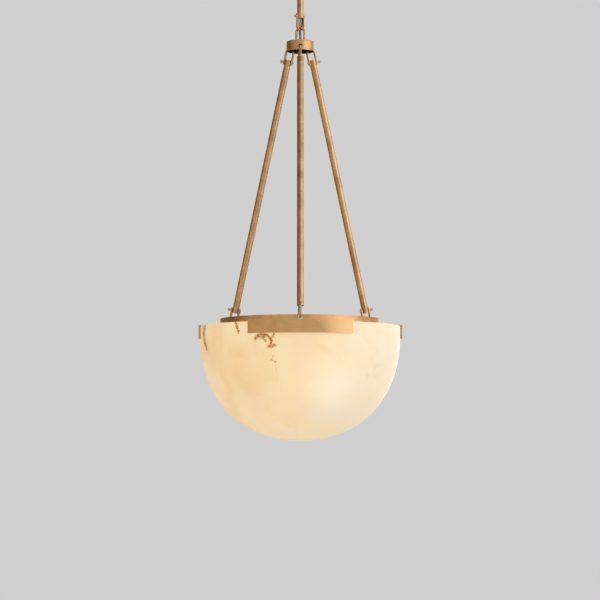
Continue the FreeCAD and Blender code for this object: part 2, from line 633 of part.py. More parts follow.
def hub():
    """Turned cup with its loop, nuts and grommet, and the leads that run to the front rod."""
    inner = HUB_R - HUB_WALL
    roof = HUB_TOP_Z - HUB_TOP
    cup = turned(
        [(0, roof), (inner, roof), (inner, HUB_Z), (HUB_R, HUB_Z), (HUB_R, HUB_TOP_Z), (0, HUB_TOP_Z)],
        [(4, HUB_ROUND)],
    )
    cuts = [Part.makeCylinder(GROMMET_HOLE_R, HUB_H, V(0, 0, HUB_Z))]
    for az in hanger_azimuths():
        cuts.append(radial_bar(EYE_R, az, HUB_EYE_Z, inner / 2, HUB_R + 5))
    feet = []
    for side in (-1, 1):
        a = math.radians(LOOP_YAW)
        foot = V(side * LOOP_R * math.cos(a), side * LOOP_R * math.sin(a), roof)
        feet.append(foot)
        cuts.append(Part.makeCylinder(LOOP_BAR_R + THREAD_CLEAR, 2 * HUB_TOP, foot - V(0, 0, 1)))
    keep("hub_cup", cup.cut(Part.makeCompound(cuts)))
    keep("hub_loop", hub_loop(LOOP_APEX))
    bore = LOOP_BAR_R + THREAD_CLEAR
    keep("hub_loop_nuts", *[hexagon(LOOP_NUT_AF, LOOP_NUT_T, f, DOWN, bore) for f in feet])
    sleeve = tube(GROMMET_HOLE_R, GROMMET_BORE, V(0, 0, roof - 1), UP, HUB_TOP + 1 + GROMMET_FLANGE_T)
    flange = tube(GROMMET_FLANGE_R, GROMMET_BORE, V(0, 0, HUB_TOP_Z), UP, GROMMET_FLANGE_T)
    keep("hub_grommet", fused([sleeve, flange]))
    leads = []
    for k in (0, 1, 2):
        x, below = (k - 1) * LEAD_PITCH, 3.0 * k
        route = [V(x, 0, roof - LEAD_GAP), V(x, 0, roof - 7.2 - below)]
        route += [V(-6.0 + k, -10.0, HUB_Z + 5.8 - below), V(-6.0, -18.5 + 0.5 * k, HUB_Z - 2.2 - 2.3 * k)]
        route += [V(-4.4, -32.4 + 1.9 * k, HUB_Z - 6.5 - 2.2 * k), rod_lead(k, ROD_LEAD_END)]
        leads.append(cord(route, LEAD_R))
    report_cord("hub_leads", min(leads, key=lambda lead: lead[1]))
    keep("hub_leads", *[lead[0] for lead in leads])


# ---------------------------------------------------------------- hangers
def hanger_azimuths():
    """One hanger at the front, and one a third of a turn to each side."""
    return (0.0, 120.0, -120.0)


def hanger_axes(az):
    """Unit vectors of a hanger: up along its rod, and outward across it."""
    top, bottom = polar(HUB_BEND_R, az, HUB_BEND_Z), polar(RING_BEND_R, az, RING_BEND_Z)
    along = (top - bottom).normalize()
    across = polar(1, az, 0)
    outward = (across - along * across.dot(along)).normalize()
    return top, bottom, along, outward


def rod_point(az, below):
    """A point on a rod's centreline, a distance below the rod's top end."""
    top, _, along, _ = hanger_axes(az)
    return top - along * (SHACKLE_REACH - PIN_SETBACK + below)


def hanger(name, az):
    """A tube rod with a shackle and a cross pin at each end."""
    top, bottom, along, outward = hanger_axes(az)
    offset = SHACKLE_REACH - PIN_SETBACK
    pipe = tube(ROD_R, ROD_R - TUBE_WALL, bottom + along * offset, along, ROD_LENGTH)
    for end in (bottom + along * SHACKLE_REACH, top - along * SHACKLE_REACH):
        hole = Part.makeCylinder(PIN_R + PIN_CLEAR, 4 * ROD_R, end - outward * (2 * ROD_R), outward)
        pipe = pipe.cut(hole)
    keep("rod_" + name, pipe)
    keep("upper_shackle_" + name, placed(SHACKLE, top, along * -1, outward))
    keep("lower_shackle_" + name, placed(SHACKLE, bottom, along, outward))
    pins = [placed(CROSS_PIN, top, along * -1, outward), placed(CROSS_PIN, bottom, along, outward)]
    keep("cross_pins_" + name, *pins)


def rod_lead(k, below):
    """A point on lead k in the front rod, beside the cross pins."""
    outward = hanger_axes(0)[3]
    return rod_point(0, below) + V(ROD_LEAD_X, 0, 0) + outward * ((1 - k) * LEAD_PITCH)


def rod_leads():
    """The leads inside the front rod."""
    solids = []
    for k in (0, 1, 2):
        start = rod_lead(k, ROD_LEAD_END + LEAD_GAP)
        end = rod_lead(k, ROD_LENGTH - ROD_LEAD_END - LEAD_GAP)
        solids.append(tube(LEAD_R, 0, start, end - start, (end - start).Length))
    keep("rod_leads", *solids)


# ---------------------------------------------------------------- light ring, pan and lamps
def lamp_azimuths():
    """The lamps stand between the hangers."""
    return [LAMP_FIRST_ANGLE + k * 360.0 / LAMP_COUNT for k in range(LAMP_COUNT)]


def light_ring():
    """A band with an inner ledge, three eyes for the shackles and holes for the bracket screws."""
    inner = RING_R - RING_WALL
    bottom = RING_TOP_Z - RING_H
    band = tube(RING_R, inner, V(0, 0, bottom), UP, RING_H)
    ledge = tube(inner + 1, inner - LEDGE_WIDTH, V(0, 0, PAN_Z - LEDGE_T), UP, LEDGE_T)
    cuts = [radial_bar(EYE_R, az, RING_EYE_Z, inner - 5, RING_R + 5) for az in hanger_azimuths()]
    for az, z in bracket_screws():
        cuts.append(radial_bar(RING_SCREW_R + THREAD_CLEAR, az, z, inner - 5, RING_R + 5))
    for spot in pan_screw_spots():
        cuts.append(Part.makeCylinder(PAN_SCREW_R + THREAD_CLEAR, 3 * LEDGE_T, spot - V(0, 0, 2 * LEDGE_T)))
    return fused([band, ledge]).cut(Part.makeCompound(cuts))


def pan_screw_spots():
    """Where the pan plate's screws go, on the plate's underside."""
    r = RING_R - RING_WALL - PAN_SCREW_INSET
    step = 360.0 / PAN_SCREW_COUNT
    return [polar(r, (k + 0.5) * step, PAN_Z) for k in range(PAN_SCREW_COUNT)]


def pan():
    """The plate on the ring's ledge that carries the lamps, and its screws."""
    plate = tube(RING_R - RING_WALL - PAN_GAP, 0, V(0, 0, PAN_Z), UP, PAN_T)
    cuts, screws = [], []
    for az in lamp_azimuths():
        spot = polar(LAMP_CIRCLE_R, az, PAN_Z - PAN_T)
        cuts.append(Part.makeCylinder(LAMP_NIPPLE_R + THREAD_CLEAR, 3 * PAN_T, spot))
    for spot in pan_screw_spots():
        cuts.append(Part.makeCylinder(PAN_SCREW_R + HOLE_CLEAR, 3 * PAN_T, spot - V(0, 0, PAN_T)))
        shank = tube(PAN_SCREW_R, 0, spot - V(0, 0, LEDGE_T + 1), UP, PAN_T + LEDGE_T + 1)
        head = tube(PAN_SCREW_HEAD_R, 0, spot + V(0, 0, PAN_T), UP, PAN_SCREW_HEAD)
        screws.append(fused([shank, head]))
    keep("pan_plate", plate.cut(Part.makeCompound(cuts)))
    keep("pan_screws", *screws)


def bulb():
    """A frosted bulb hanging from the origin: cap down to the neck, then the round envelope."""
    ball_z = -BULB_LENGTH + BULB_R
    shoulder = math.radians(BULB_SHOULDER_ANGLE)
    side = V(BULB_R * math.cos(shoulder), 0, ball_z + BULB_R * math.sin(shoulder))
    neck = V(BULB_NECK_R, 0, -BULB_CAP_H - 1)
    edges = [
        Part.LineSegment(V(0, 0, 0), V(BULB_CAP_R, 0, 0)).toShape(),
        Part.LineSegment(V(BULB_CAP_R, 0, 0), V(BULB_CAP_R, 0, -BULB_CAP_H)).toShape(),
        Part.LineSegment(V(BULB_CAP_R, 0, -BULB_CAP_H), neck).toShape(),
        Part.LineSegment(neck, side).toShape(),
        Part.Arc(side, V(BULB_R, 0, ball_z), V(0, 0, ball_z - BULB_R)).toShape(),
        Part.LineSegment(V(0, 0, ball_z - BULB_R), V(0, 0, 0)).toShape(),
    ]
    return Part.Face(Part.Wire(edges)).revolve(V(0, 0, 0), UP, 360)


def lamps():
    """Nipple, nut, holder cup, porcelain socket, screw shell and bulb at each lamp place."""
    holders, sockets, shells = [], [], []
    roof = PAN_Z - HOLDER_WALL
    socket_bottom = roof - SOCKET_H
    for k, az in enumerate(lamp_azimuths()):
        spot = polar(LAMP_CIRCLE_R, az, 0)
        low, high = PAN_Z - LAMP_NIPPLE_BELOW, PAN_TOP + LAMP_NIPPLE_STAND
        nipple = tube(LAMP_NIPPLE_R, LAMP_NIPPLE_BORE, spot + V(0, 0, low), UP, high - low)
        bore = LAMP_NIPPLE_R + THREAD_CLEAR
        nut = hexagon(LAMP_NUT_AF, LAMP_NUT_T, spot + V(0, 0, PAN_TOP), UP, bore)
        cup = tube(HOLDER_R, bore, spot + V(0, 0, PAN_Z - HOLDER_H), UP, HOLDER_H)
        hollow_h = HOLDER_H - HOLDER_WALL
        hollow = tube(HOLDER_R - HOLDER_WALL, 0, spot + V(0, 0, PAN_Z - HOLDER_H), UP, hollow_h)
        holders += [nipple, nut, cup.cut(hollow)]
        body = tube(SOCKET_R, SHELL_R + THREAD_CLEAR, spot + V(0, 0, socket_bottom), UP, SOCKET_H)
        lid_z = socket_bottom + SHELL_H + SHELL_HEADROOM
        lid = tube(SHELL_R + 1, bore, spot + V(0, 0, lid_z), UP, roof - lid_z)
        sockets.append(fused([body, lid]))
        shell_base = spot + V(0, 0, socket_bottom + SHELL_SINK)
        shells.append(tube(SHELL_R, SHELL_R - SHELL_WALL, shell_base, UP, SHELL_H))
        lamp = bulb()
        lamp.translate(spot + V(0, 0, socket_bottom + BULB_CAP_H))
        keep(f"bulb_{k + 1}", lamp)
    keep("socket_holders", *holders)
    keep("lamp_sockets", *sockets)
    keep("screw_shells", *shells)


def splice_places():
    """The splice caps' places along X, and the side of each mouth that its lamp lead takes."""
    return [(-SPLICE_SPACING, -1), (0.0, -1), (SPLICE_SPACING, 1)]


def pan_leads():
    """From the front rod's foot into the ring, over the plate to the splice caps and the lamps."""
    lie = PAN_TOP + LEAD_R + 0.1
    cap_z = PAN_TOP + CONNECTOR_R + 0.1
    caps, leads = [], []
    for k, (x, way) in enumerate(splice_places()):
        caps.append(connector(V(x, 0, cap_z), V(0, 1, 0)))
        out, over = (k - 1) * LEAD_PITCH - RING_BEND_R, lie + k * LEAD_PITCH
        end_x = x - 1.7 * way
        route = [rod_lead(k, ROD_LENGTH - ROD_LEAD_END), V(-4.5, out + 4.2, RING_BEND_Z + 8.0)]
        route += [V(-5.2, out + 5.8, RING_BEND_Z - 8.0), V(-5.2, out + 7.0, over)]
        route += [V(-5.2, -130.0, over), V(0.55 * x, -90.0, lie), V(end_x, -50.0, lie)]
        route += [V(end_x, -30.0, cap_z + 0.6), V(end_x, -14.0, cap_z), V(end_x, 0, cap_z)]
        leads.append(cord(route, LEAD_R))
    report_cord("pan_leads", min(leads, key=lambda lead: lead[1]))

    far = PAN_TOP + LAMP_LEAD_R + 0.1
    top = PAN_TOP + LAMP_NIPPLE_STAND
    on_plate = {
        0: [V(31.0, -30.0, far)],
        1: [V(x, y, far) for x, y in ((-24, -30), (-40, -27), (-50, -10), (-50, 16), (-34, 48))],
        2: [V(-12.0, -37.0, far)],
    }
    arch = [(36.0, far + 0.2), (26.0, far + 2.0), (19.0, top + 2.0), (17.8, top + 9.4)]
    arch += [(12.8, top + 16.2), (4.8, top + 16.2), (0.0, top + 9.4), (0.0, top - 8.0)]
    for k, splice in ((0, 2), (1, 0), (2, 1)):
        x, way = splice_places()[splice]
        spot = polar(LAMP_CIRCLE_R, lamp_azimuths()[k], 0)
        start_x = x + 1.9 * way
        route = [V(start_x, 0, cap_z), V(start_x, -9.0, cap_z), V(start_x + 0.5 * way, -20.0, far)]
        route += on_plate[k]
        side = (spot - V(route[-1].x, route[-1].y, 0)).normalize()
        route += [spot - side * back + V(0, 0, z) for back, z in arch]
        made = cord(route, LAMP_LEAD_R)
        report_cord(f"lamp lead {k + 1}", made)
        leads.append(made)
    keep("splice_caps", *caps)
    keep("pan_leads", *[lead[0] for lead in leads])


# ---------------------------------------------------------------- bowl and what holds it
def arc_from(start, way, end):
    """The arc that leaves one point in a given direction and ends at another."""
    chord = end - start
    along = V(chord).normalize()
    half = math.acos(max(-1.0, min(1.0, way.dot(along))))
    side = (way - along * way.dot(along)).normalize()
    middle = (start + end) * 0.5 + side * (0.5 * chord.Length * math.tan(half / 2))
    return Part.Arc(start, middle, end).toShape()


def arc_pair(start, way_in, end, way_out):
    """Two arcs, tangent to each other and to the directions given at both ends."""
    chord, spread = end - start, 2 * (1 - way_in.dot(way_out))
    lean = chord.dot(way_in + way_out)
    reach = (math.sqrt(lean ** 2 + spread * chord.dot(chord)) - lean) / spread
    joint = (start + way_in * reach + end - way_out * reach) * 0.5
    return [arc_from(start, way_in, joint), arc_from(end, -way_out, joint)]


def bowl_station(r, depth, angle):
    """A point of the bowl's rounded outline and its direction there, 0 at the wall and 90 on the axis."""
    a = math.radians(angle)
    across = max(math.cos(a), 0.0) ** (2 / BOWL_POWER)
    down = math.sin(a) ** (2 / BOWL_POWER)
    steep, level = down ** (BOWL_POWER - 1) / depth, across ** (BOWL_POWER - 1) / r
    return V(r * across, 0, RIM_Z - BOWL_SKIRT - depth * down), V(-steep, 0, -level).normalize()


def bowl_body(r, depth, top):
    """A solid of revolution bounded by the bowl's outline, in tangent arcs, and a flat top."""
    stations = [bowl_station(r, depth, angle) for angle in BOWL_STATIONS]
    edges = []
    for (start, way_in), (end, way_out) in zip(stations, stations[1:]):
        edges += arc_pair(start, way_in, end, way_out)
    low, wall_end = stations[-1][0], stations[0][0]
    edges.append(Part.LineSegment(low, V(0, 0, top)).toShape())
    edges.append(Part.LineSegment(V(0, 0, top), V(r, 0, top)).toShape())
    edges.append(Part.LineSegment(V(r, 0, top), wall_end).toShape())
    return Part.Face(Part.Wire(Part.__sortEdges__(edges))).revolve(V(0, 0, 0), UP, 360)


def bowl():
    """The alabaster bowl, bored near its rim for the clip studs."""
    depth = BOWL_DEPTH - BOWL_SKIRT
    outside = bowl_body(BOWL_R, depth, RIM_Z)
    inside = bowl_body(BOWL_R - BOWL_WALL, depth - BOWL_WALL, RIM_Z)
    shell = outside.cut(inside)
    rim = [e for e in shell.Edges if on_circle(e, BOWL_R, RIM_Z) or on_circle(e, BOWL_R - BOWL_WALL, RIM_Z)]
    shell = shell.makeChamfer(BOWL_RIM_BEVEL, rim)
    holes = []
    for az, z in clip_studs():
        holes.append(radial_bar(CLIP_STUD_R + HOLE_CLEAR, az, z, BOWL_R - 2 * BOWL_WALL, BOWL_R + 5))
    return shell.cut(Part.makeCompound(holes))


def clip_studs():
    """Azimuth and height of each stud through the stone."""
    z = RIM_Z - CLIP_STUD_DROP
    return [(az + s * CLIP_STUD_ANGLE, z) for az in hanger_azimuths() for s in (-1, 1)]


def bracket_screws():
    """Azimuth and height of each screw through the ring."""
    z = RIM_Z - RING_SCREW_DROP
    return [(az + s * CLIP_STUD_ANGLE, z) for az in hanger_azimuths() for s in (-1, 1)]


def rim_holds():
    """Clips outside the rim, gaskets, brackets inside, and the fasteners through them."""
    clip_in = BOWL_R + GASKET_T
    clip_out = clip_in + CLIP_T
    top = RIM_Z + CLIP_STAND
    lip_z = top - CLIP_LIP_T
    pad_out = BOWL_R - BOWL_WALL - PAD_EASE
    leg_out = pad_out - GASKET_T
    leg_in = leg_out - BRACKET_T
    arm_z = RIM_Z - BRACKET_DROP
    low = RIM_Z - BRACKET_LEG
    gasket_angle = CLIP_HALF_ANGLE - GASKET_INSET_ANGLE
    stud_hole, screw_hole = CLIP_STUD_R + THREAD_CLEAR, RING_SCREW_R + THREAD_CLEAR
    stud_reach = clip_in + CLIP_STUD_SINK
    blind = [radial_bar(stud_hole, a, z, clip_in - 1, stud_reach) for a, z in clip_studs()]
    bores = [radial_bar(stud_hole, a, z, leg_in - 5, clip_in) for a, z in clip_studs()]
    bores += [radial_bar(screw_hole, a, z, RING_R - 5, RING_R + 2 * BRACKET_T) for a, z in bracket_screws()]
    blind, bores = Part.makeCompound(blind), Part.makeCompound(bores)
    gaskets = []
    for name, az in zip(HANGERS, hanger_azimuths()):
        plate = sector(clip_in, clip_out, top - CLIP_H, top, CLIP_HALF_ANGLE, az)
        lip = sector(clip_out - CLIP_LIP, clip_in, lip_z, top, CLIP_HALF_ANGLE, az)
        foot = sector(BOWL_R, clip_in, top - CLIP_H + 1, lip_z, gasket_angle, az)
        strip = sector(clip_out - CLIP_LIP, BOWL_R, RIM_Z, lip_z, gasket_angle, az)
        pad = sector(leg_out, pad_out, low, arm_z, BRACKET_HALF_ANGLE, az)
        outer_leg = sector(leg_in, leg_out, low, arm_z, BRACKET_HALF_ANGLE, az)
        inner_leg = sector(RING_R, RING_R + BRACKET_T, low, arm_z, BRACKET_HALF_ANGLE, az)
        arm = sector(RING_R, leg_out, arm_z - BRACKET_T, arm_z, BRACKET_HALF_ANGLE, az)
        keep("rim_clip_" + name, fused([plate, lip]).cut(blind))
        keep("bracket_" + name, fused([outer_leg, inner_leg, arm]).cut(bores))
        gaskets += [fused([foot, strip]).cut(bores), pad.cut(bores)]
    keep("stone_gaskets", *gaskets)

    studs, nuts, screws = [], [], []
    nut_face = leg_in - NUT_GAP
    stud_end = nut_face - CLIP_NUT_T - CLIP_STUD_END
    for az, z in clip_studs():
        studs.append(radial_bar(CLIP_STUD_R, az, z, stud_end, stud_reach - NUT_GAP))
        inward = polar(-1, az, 0)
        nuts.append(hexagon(CLIP_NUT_AF, CLIP_NUT_T, polar(nut_face, az, z), inward, stud_hole))
    ring_in = RING_R - RING_WALL
    for az, z in bracket_screws():
        face = RING_R + BRACKET_T
        shank = radial_bar(RING_SCREW_R, az, z, ring_in - RING_NUT_T - 2, face + 1)
        head = radial_bar(RING_SCREW_HEAD_R, az, z, face + NUT_GAP / 2, face + RING_SCREW_HEAD)
        seat = polar(ring_in - NUT_GAP, az, z)
        nut = hexagon(RING_NUT_AF, RING_NUT_T, seat, polar(-1, az, 0), screw_hole)
        screws += [fused([shank, head]), nut]
    keep("clip_studs", *studs)
    keep("clip_nuts", *nuts)
    keep("ring_screws", *screws)


def build():
    """Make every node and write its STEP file."""
    ceiling_end()
    swivel()
    stem()
    stem_link()
    hub()
    for name, az in zip(HANGERS, hanger_azimuths()):
        hanger(name, az)
    rod_leads()
    keep("light_ring", light_ring())
    pan()
    lamps()
    pan_leads()
    rim_holds()
    keep("alabaster_bowl", bowl())
    os.makedirs("parts", exist_ok=True)
    for node, shape in NODES.items():
        shape.exportStep(f"parts/{node}.step")
    print(f"{len(NODES)} nodes, loop apex {LOOP_APEX:.2f}, bowl bottom {BOWL_Z:.2f}")


build()
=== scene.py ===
"""Looks of the alabaster bowl pendant: stone, glow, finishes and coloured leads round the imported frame."""

import math

import bmesh
import bpy
from mathutils import Matrix, Vector, noise

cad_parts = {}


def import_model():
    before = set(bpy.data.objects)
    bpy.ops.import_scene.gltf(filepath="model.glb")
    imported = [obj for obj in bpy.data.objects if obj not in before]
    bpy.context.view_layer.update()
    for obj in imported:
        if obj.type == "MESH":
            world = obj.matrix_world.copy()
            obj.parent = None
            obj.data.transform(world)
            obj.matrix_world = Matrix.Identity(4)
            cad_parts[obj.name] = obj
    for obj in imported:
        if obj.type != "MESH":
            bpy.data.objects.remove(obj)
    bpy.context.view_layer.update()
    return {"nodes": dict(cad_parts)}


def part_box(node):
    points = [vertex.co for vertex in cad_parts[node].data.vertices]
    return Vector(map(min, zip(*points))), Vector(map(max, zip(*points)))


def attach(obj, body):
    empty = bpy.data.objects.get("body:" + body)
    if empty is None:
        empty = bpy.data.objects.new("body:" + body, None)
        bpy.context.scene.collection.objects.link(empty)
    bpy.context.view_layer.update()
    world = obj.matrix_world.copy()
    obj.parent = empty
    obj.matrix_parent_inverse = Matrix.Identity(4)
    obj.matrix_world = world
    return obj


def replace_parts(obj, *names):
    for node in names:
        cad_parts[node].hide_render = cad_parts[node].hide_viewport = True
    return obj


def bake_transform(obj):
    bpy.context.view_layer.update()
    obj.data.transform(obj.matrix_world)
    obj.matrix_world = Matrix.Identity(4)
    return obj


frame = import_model()
nodes = frame["nodes"]

MM = 0.001
HANGERS = ("front", "right", "left")
CABLES = CABLE_GREEN, CABLE_BLACK, CABLE_WHITE = "green", "black", "white"

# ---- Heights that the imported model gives, in metres
RIM_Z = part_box("alabaster_bowl")[1].z
BOWL_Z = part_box("alabaster_bowl")[0].z
HUB_Z, HUB_TOP_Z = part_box("hub_cup")[0].z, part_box("hub_cup")[1].z
STEM_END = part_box("stem")[0].z
PAN_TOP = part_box("pan_plate")[1].z
BULB_CENTRES = [(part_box(f"bulb_{k}")[0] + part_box(f"bulb_{k}")[1]) / 2 for k in (1, 2, 3)]


def polar(r, azimuth, z):
    """A point at a radius and an azimuth in degrees, 0 at the front and growing towards +X."""
    a = math.radians(azimuth)
    return Vector((r * math.sin(a), -r * math.cos(a), z))


# ---------------------------------------------------------------- node trees
class Finish:
    """A material on the Principled shader, with short calls for the nodes that feed it."""

    def __init__(self, name):
        self.material = bpy.data.materials.new(name)
        self.material.use_nodes = True
        self.tree = self.material.node_tree
        self.shader = self.tree.nodes["Principled BSDF"]
        self.place = self.add("TexCoord").outputs["Object"]

    def add(self, kind, inputs=None, **settings):
        """A node, with each input set to a value or linked to a socket."""
        made = self.tree.nodes.new("ShaderNode" + kind)
        for key, value in settings.items():
            setattr(made, key, value)
        for key, value in (inputs or {}).items():
            self.feed(made.inputs[key], value)
        return made

    def feed(self, socket, value):
        """Set one socket, by value or by link."""
        if isinstance(value, bpy.types.NodeSocket):
            self.tree.links.new(value, socket)
        elif socket.type == "RGBA" and len(value) == 3:
            socket.default_value = (*value, 1)
        else:
            socket.default_value = value

    def set(self, **inputs):
        """Set the shader's sockets by name, with _ for a space."""
        for key, value in inputs.items():
            self.feed(self.shader.inputs[key.replace("_", " ")], value)

    def scaled(self, x, y, z):
        """Object coordinates with each axis scaled."""
        return self.add("Mapping", {"Vector": self.place, "Scale": (x, y, z)}).outputs["Vector"]

    def noise(self, scale, detail=3.0, vector=None, distortion=0.0, rough=0.5):
        """A noise value about 0.5."""
        inputs = {"Vector": vector or self.place, "Scale": scale, "Detail": detail}
        inputs.update({"Distortion": distortion, "Roughness": rough})
        return self.add("TexNoise", inputs).outputs["Fac"]

    def math(self, operation, a, b=0.0):
        """One arithmetic step."""
        made = self.add("Math", operation=operation)
        self.feed(made.inputs[0], a)
        self.feed(made.inputs[1], b)
        return made.outputs[0]

    def vector(self, operation, a, b=(0, 0, 0), scale=1.0):
        """One vector step: its vector, or its number where it gives one."""
        made = self.add("VectorMath", operation=operation)
        self.feed(made.inputs[0], a)
        self.feed(made.inputs[1], b)
        self.feed(made.inputs[3], scale)
        return made.outputs[1 if operation in ("DOT_PRODUCT", "LENGTH", "DISTANCE") else 0]

    def remap(self, value, low, high, to_low=0.0, to_high=1.0):
        """A smooth step from one range to another."""
        inputs = {"Value": value, "From Min": low, "From Max": high, "To Min": to_low, "To Max": to_high}
        return self.add("MapRange", inputs, interpolation_type="SMOOTHSTEP").outputs["Result"]

    def ramp(self, value, *stops):
        """A colour ramp through (place, colour) stops."""
        made = self.add("ValToRGB", {"Fac": value})
        ramp = made.color_ramp
        while len(ramp.elements) < len(stops):
            ramp.elements.new(0.5)
        for element, (place, colour) in zip(ramp.elements, stops):
            element.position = place
            element.color = (*colour, 1)
        return made.outputs["Color"]

    def mix(self, amount, a, b, blend="MIX"):
        """Two colours mixed, each a triple or a socket."""
        made = self.add("Mix", data_type="RGBA", blend_type=blend)
        self.feed(made.inputs["Factor"], amount)
        for key, colour in (("A", a), ("B", b)):
            socket = next(s for s in made.inputs if s.name == key and s.type == "RGBA")
            self.feed(socket, colour)
        return next(s for s in made.outputs if s.type == "RGBA")

    def bump(self, height, distance, strength=1.0):
        """Surface relief from a height, with its depth in metres."""
        inputs = {"Height": height, "Distance": distance, "Strength": strength}
        self.set(Normal=self.add("Bump", inputs).outputs["Normal"])


# ---------------------------------------------------------------- metals
BRASS_DARK, BRASS_MID, BRASS_LIGHT = (0.44, 0.225, 0.08), (0.66, 0.385, 0.165), (0.76, 0.485, 0.24)
BRASS_CREVICE_SHADE, BRASS_INNER_SHADE = (0.15, 0.07, 0.026), (0.085, 0.042, 0.018)
ZINC_DARK, ZINC_LIGHT = (0.42, 0.41, 0.38), (0.72, 0.71, 0.68)
CREVICE_SHADE_REACH, FINE_RELIEF = 4 * MM, 0.04 * MM

# How fine the brushing is along X, Y and Z
TURNED_GRAIN, DRAWN_GRAIN = (30, 30, 900), (240, 240, 12)
STRAP_GRAIN, SHEET_GRAIN = (160, 160, 60), (20, 20, 1100)


def brass(name, grain, lift=0.0, streak=0.35, inside=0.0, roof=1.0, shade=0.7):
    """Aged brass, brushed along the axis with the smallest grain scale, with painted shade where sheltered.

    lift makes it lighter, streak is the brushing's share of its tone, and shade is how open a place has to
    be for its full colour, free of painted shade. Within the radius inside of the part's axis, and below the
    height roof, it is painted shade: the dull dark brown of an inner wall in shadow.
    """
    f = Finish(name)
    brushed = f.noise(1.0, 4.0, f.scaled(*grain), rough=0.65)
    patina = f.noise(24.0, 5.0, distortion=0.6)
    tone = f.math("ADD", f.math("MULTIPLY", brushed, streak), f.math("MULTIPLY", patina, 1.0 - streak))
    body = f.ramp(f.math("ADD", tone, lift), (0.28, BRASS_DARK), (0.50, BRASS_MID), (0.78, BRASS_LIGHT))
    # painted shade: the brass goes dark brown where ambient occlusion finds other parts close by
    painted_crevice_shade = f.add("AmbientOcclusion", {"Distance": CREVICE_SHADE_REACH}, samples=6).outputs["AO"]
    body = f.mix(f.remap(painted_crevice_shade, 0.1, shade), BRASS_CREVICE_SHADE, body)
    # painted shade: the inner wall of the hub and the ring is coloured dark brown as if in shadow
    if inside:
        height = f.add("SeparateXYZ", {"Vector": f.place}).outputs["Z"]
        reach = f.vector("LENGTH", f.vector("MULTIPLY", f.place, (1, 1, 0)))
        below = f.math("LESS_THAN", height, roof)
        shaded_within = f.math("MULTIPLY", f.math("LESS_THAN", reach, inside), below)
        body = f.mix(shaded_within, body, BRASS_INNER_SHADE)
    f.set(Base_Color=body, Metallic=1.0, Coat_Weight=0.12, Coat_Roughness=0.3)
    wear = f.math("ADD", brushed, f.math("MULTIPLY", patina, 0.4))
    f.set(Roughness=f.remap(wear, 0.4, 0.9, 0.34, 0.48))
    f.bump(brushed, FINE_RELIEF, 0.5)
    return f.material


def zinc():
    """Zinc-plated steel with faint spangle."""
    f = Finish("zinc_plate")
    spangle = f.add("TexVoronoi", {"Vector": f.place, "Scale": 420.0}).outputs["Distance"]
    cloud = f.noise(60.0, 3.0)
    tone = f.math("ADD", f.math("MULTIPLY", spangle, 0.5), f.math("MULTIPLY", cloud, 0.6))
    f.set(Base_Color=f.ramp(tone, (0.2, ZINC_DARK), (0.8, ZINC_LIGHT)), Metallic=1.0)
    f.set(Roughness=f.remap(cloud, 0.3, 0.7, 0.28, 0.48))
    f.bump(spangle, FINE_RELIEF, 0.4)
    return f.material


# ---------------------------------------------------------------- plain surfaces and lamps
def coated(name, light, dark, roughness, relief):
    """A painted, glazed or moulded surface with a fine skin."""
    f = Finish(name)
    skin = f.noise(180.0, 4.0)
    cloud = f.noise(15.0, 3.0)
    f.set(Base_Color=f.mix(cloud, dark, light))
    f.set(Roughness=f.remap(skin, 0.35, 0.7, roughness * 0.85, roughness * 1.2))
    f.bump(skin, relief, 0.5)
    return f.material


def insulation(name, light, dark):
    """Wire insulation, a soft gloss with faint drawing lines along it."""
    f = Finish(name)
    lines = f.noise(1.0, 3.0, f.scaled(900, 900, 60))
    f.set(Base_Color=f.mix(f.noise(70.0), dark, light), Roughness=f.remap(lines, 0.3, 0.7, 0.28, 0.42))
    f.set(Coat_Weight=0.15, Coat_Roughness=0.2)
    f.bump(lines, 0.03 * MM, 0.5)
    return f.material


BULB_CAP_H, BULB_CAP_EDGE = 24 * MM, 1 * MM
BULB_GLASS, BULB_CAP = (0.93, 0.86, 0.74), (0.62, 0.6, 0.56)
BULB_LIGHT, BULB_STRENGTH = (1.0, 0.74, 0.42), 2.2


def frosted_bulb():
    """Frosted glass, lit from inside, with a plain metal cap above the neck."""
    f = Finish("frosted_bulb")
    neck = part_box("bulb_1")[1].z - BULB_CAP_H
    height = f.add("SeparateXYZ", {"Vector": f.place}).outputs["Z"]
    cap = f.remap(height, neck - BULB_CAP_EDGE, neck)
    frost = f.noise(300.0, 2.0)
    f.set(Base_Color=f.mix(cap, BULB_GLASS, BULB_CAP), Metallic=cap)
    f.set(Roughness=f.remap(frost, 0.3, 0.7, 0.4, 0.55))
    f.set(Emission_Color=BULB_LIGHT, Emission_Strength=f.remap(cap, 0.0, 1.0, BULB_STRENGTH, 0.0))
    f.bump(frost, FINE_RELIEF, 0.5)
    return f.material


# ---------------------------------------------------------------- alabaster
BOWL_R, BOWL_DEPTH, BOWL_SKIRT = 228.6 * MM, RIM_Z - BOWL_Z, 15.4 * MM
BOWL_WALL, BOWL_POWER, RIM_ROUND = 10.0 * MM, 2.2, 1.5 * MM
BOWL_STEPS, INNER_STEPS, OUTER_STEPS, RIM_STEPS = 288, 60, 72, 6
STONE_RIPPLE, RIPPLE_SCALE = 0.25 * MM, 11.0

STONE_SHADED_WARM, STONE_HONEY, STONE_LIT_PALE = (0.91, 0.66, 0.38), (0.95, 0.77, 0.50), (0.91, 0.80, 0.65)
STONE_WISP, STONE_SHADE = (0.95, 0.80, 0.60), (0.80, 0.58, 0.42)
STONE_BED, STONE_HAIR = (0.60, 0.48, 0.26), (0.70, 0.44, 0.20)
STONE_HOT_SPOT, STONE_BLUSH = (0.97, 0.90, 0.79), (0.87, 0.64, 0.46)
VEIN_HALO, VEIN_CORE = (0.56, 0.26, 0.07), (0.30, 0.10, 0.018)
# painted light and shade: the stone is warmer and darker on the left and paler on the right, as if lit from
# the right
SHADED_SIDE, LIT_SIDE = -0.24, 0.2  # places along X

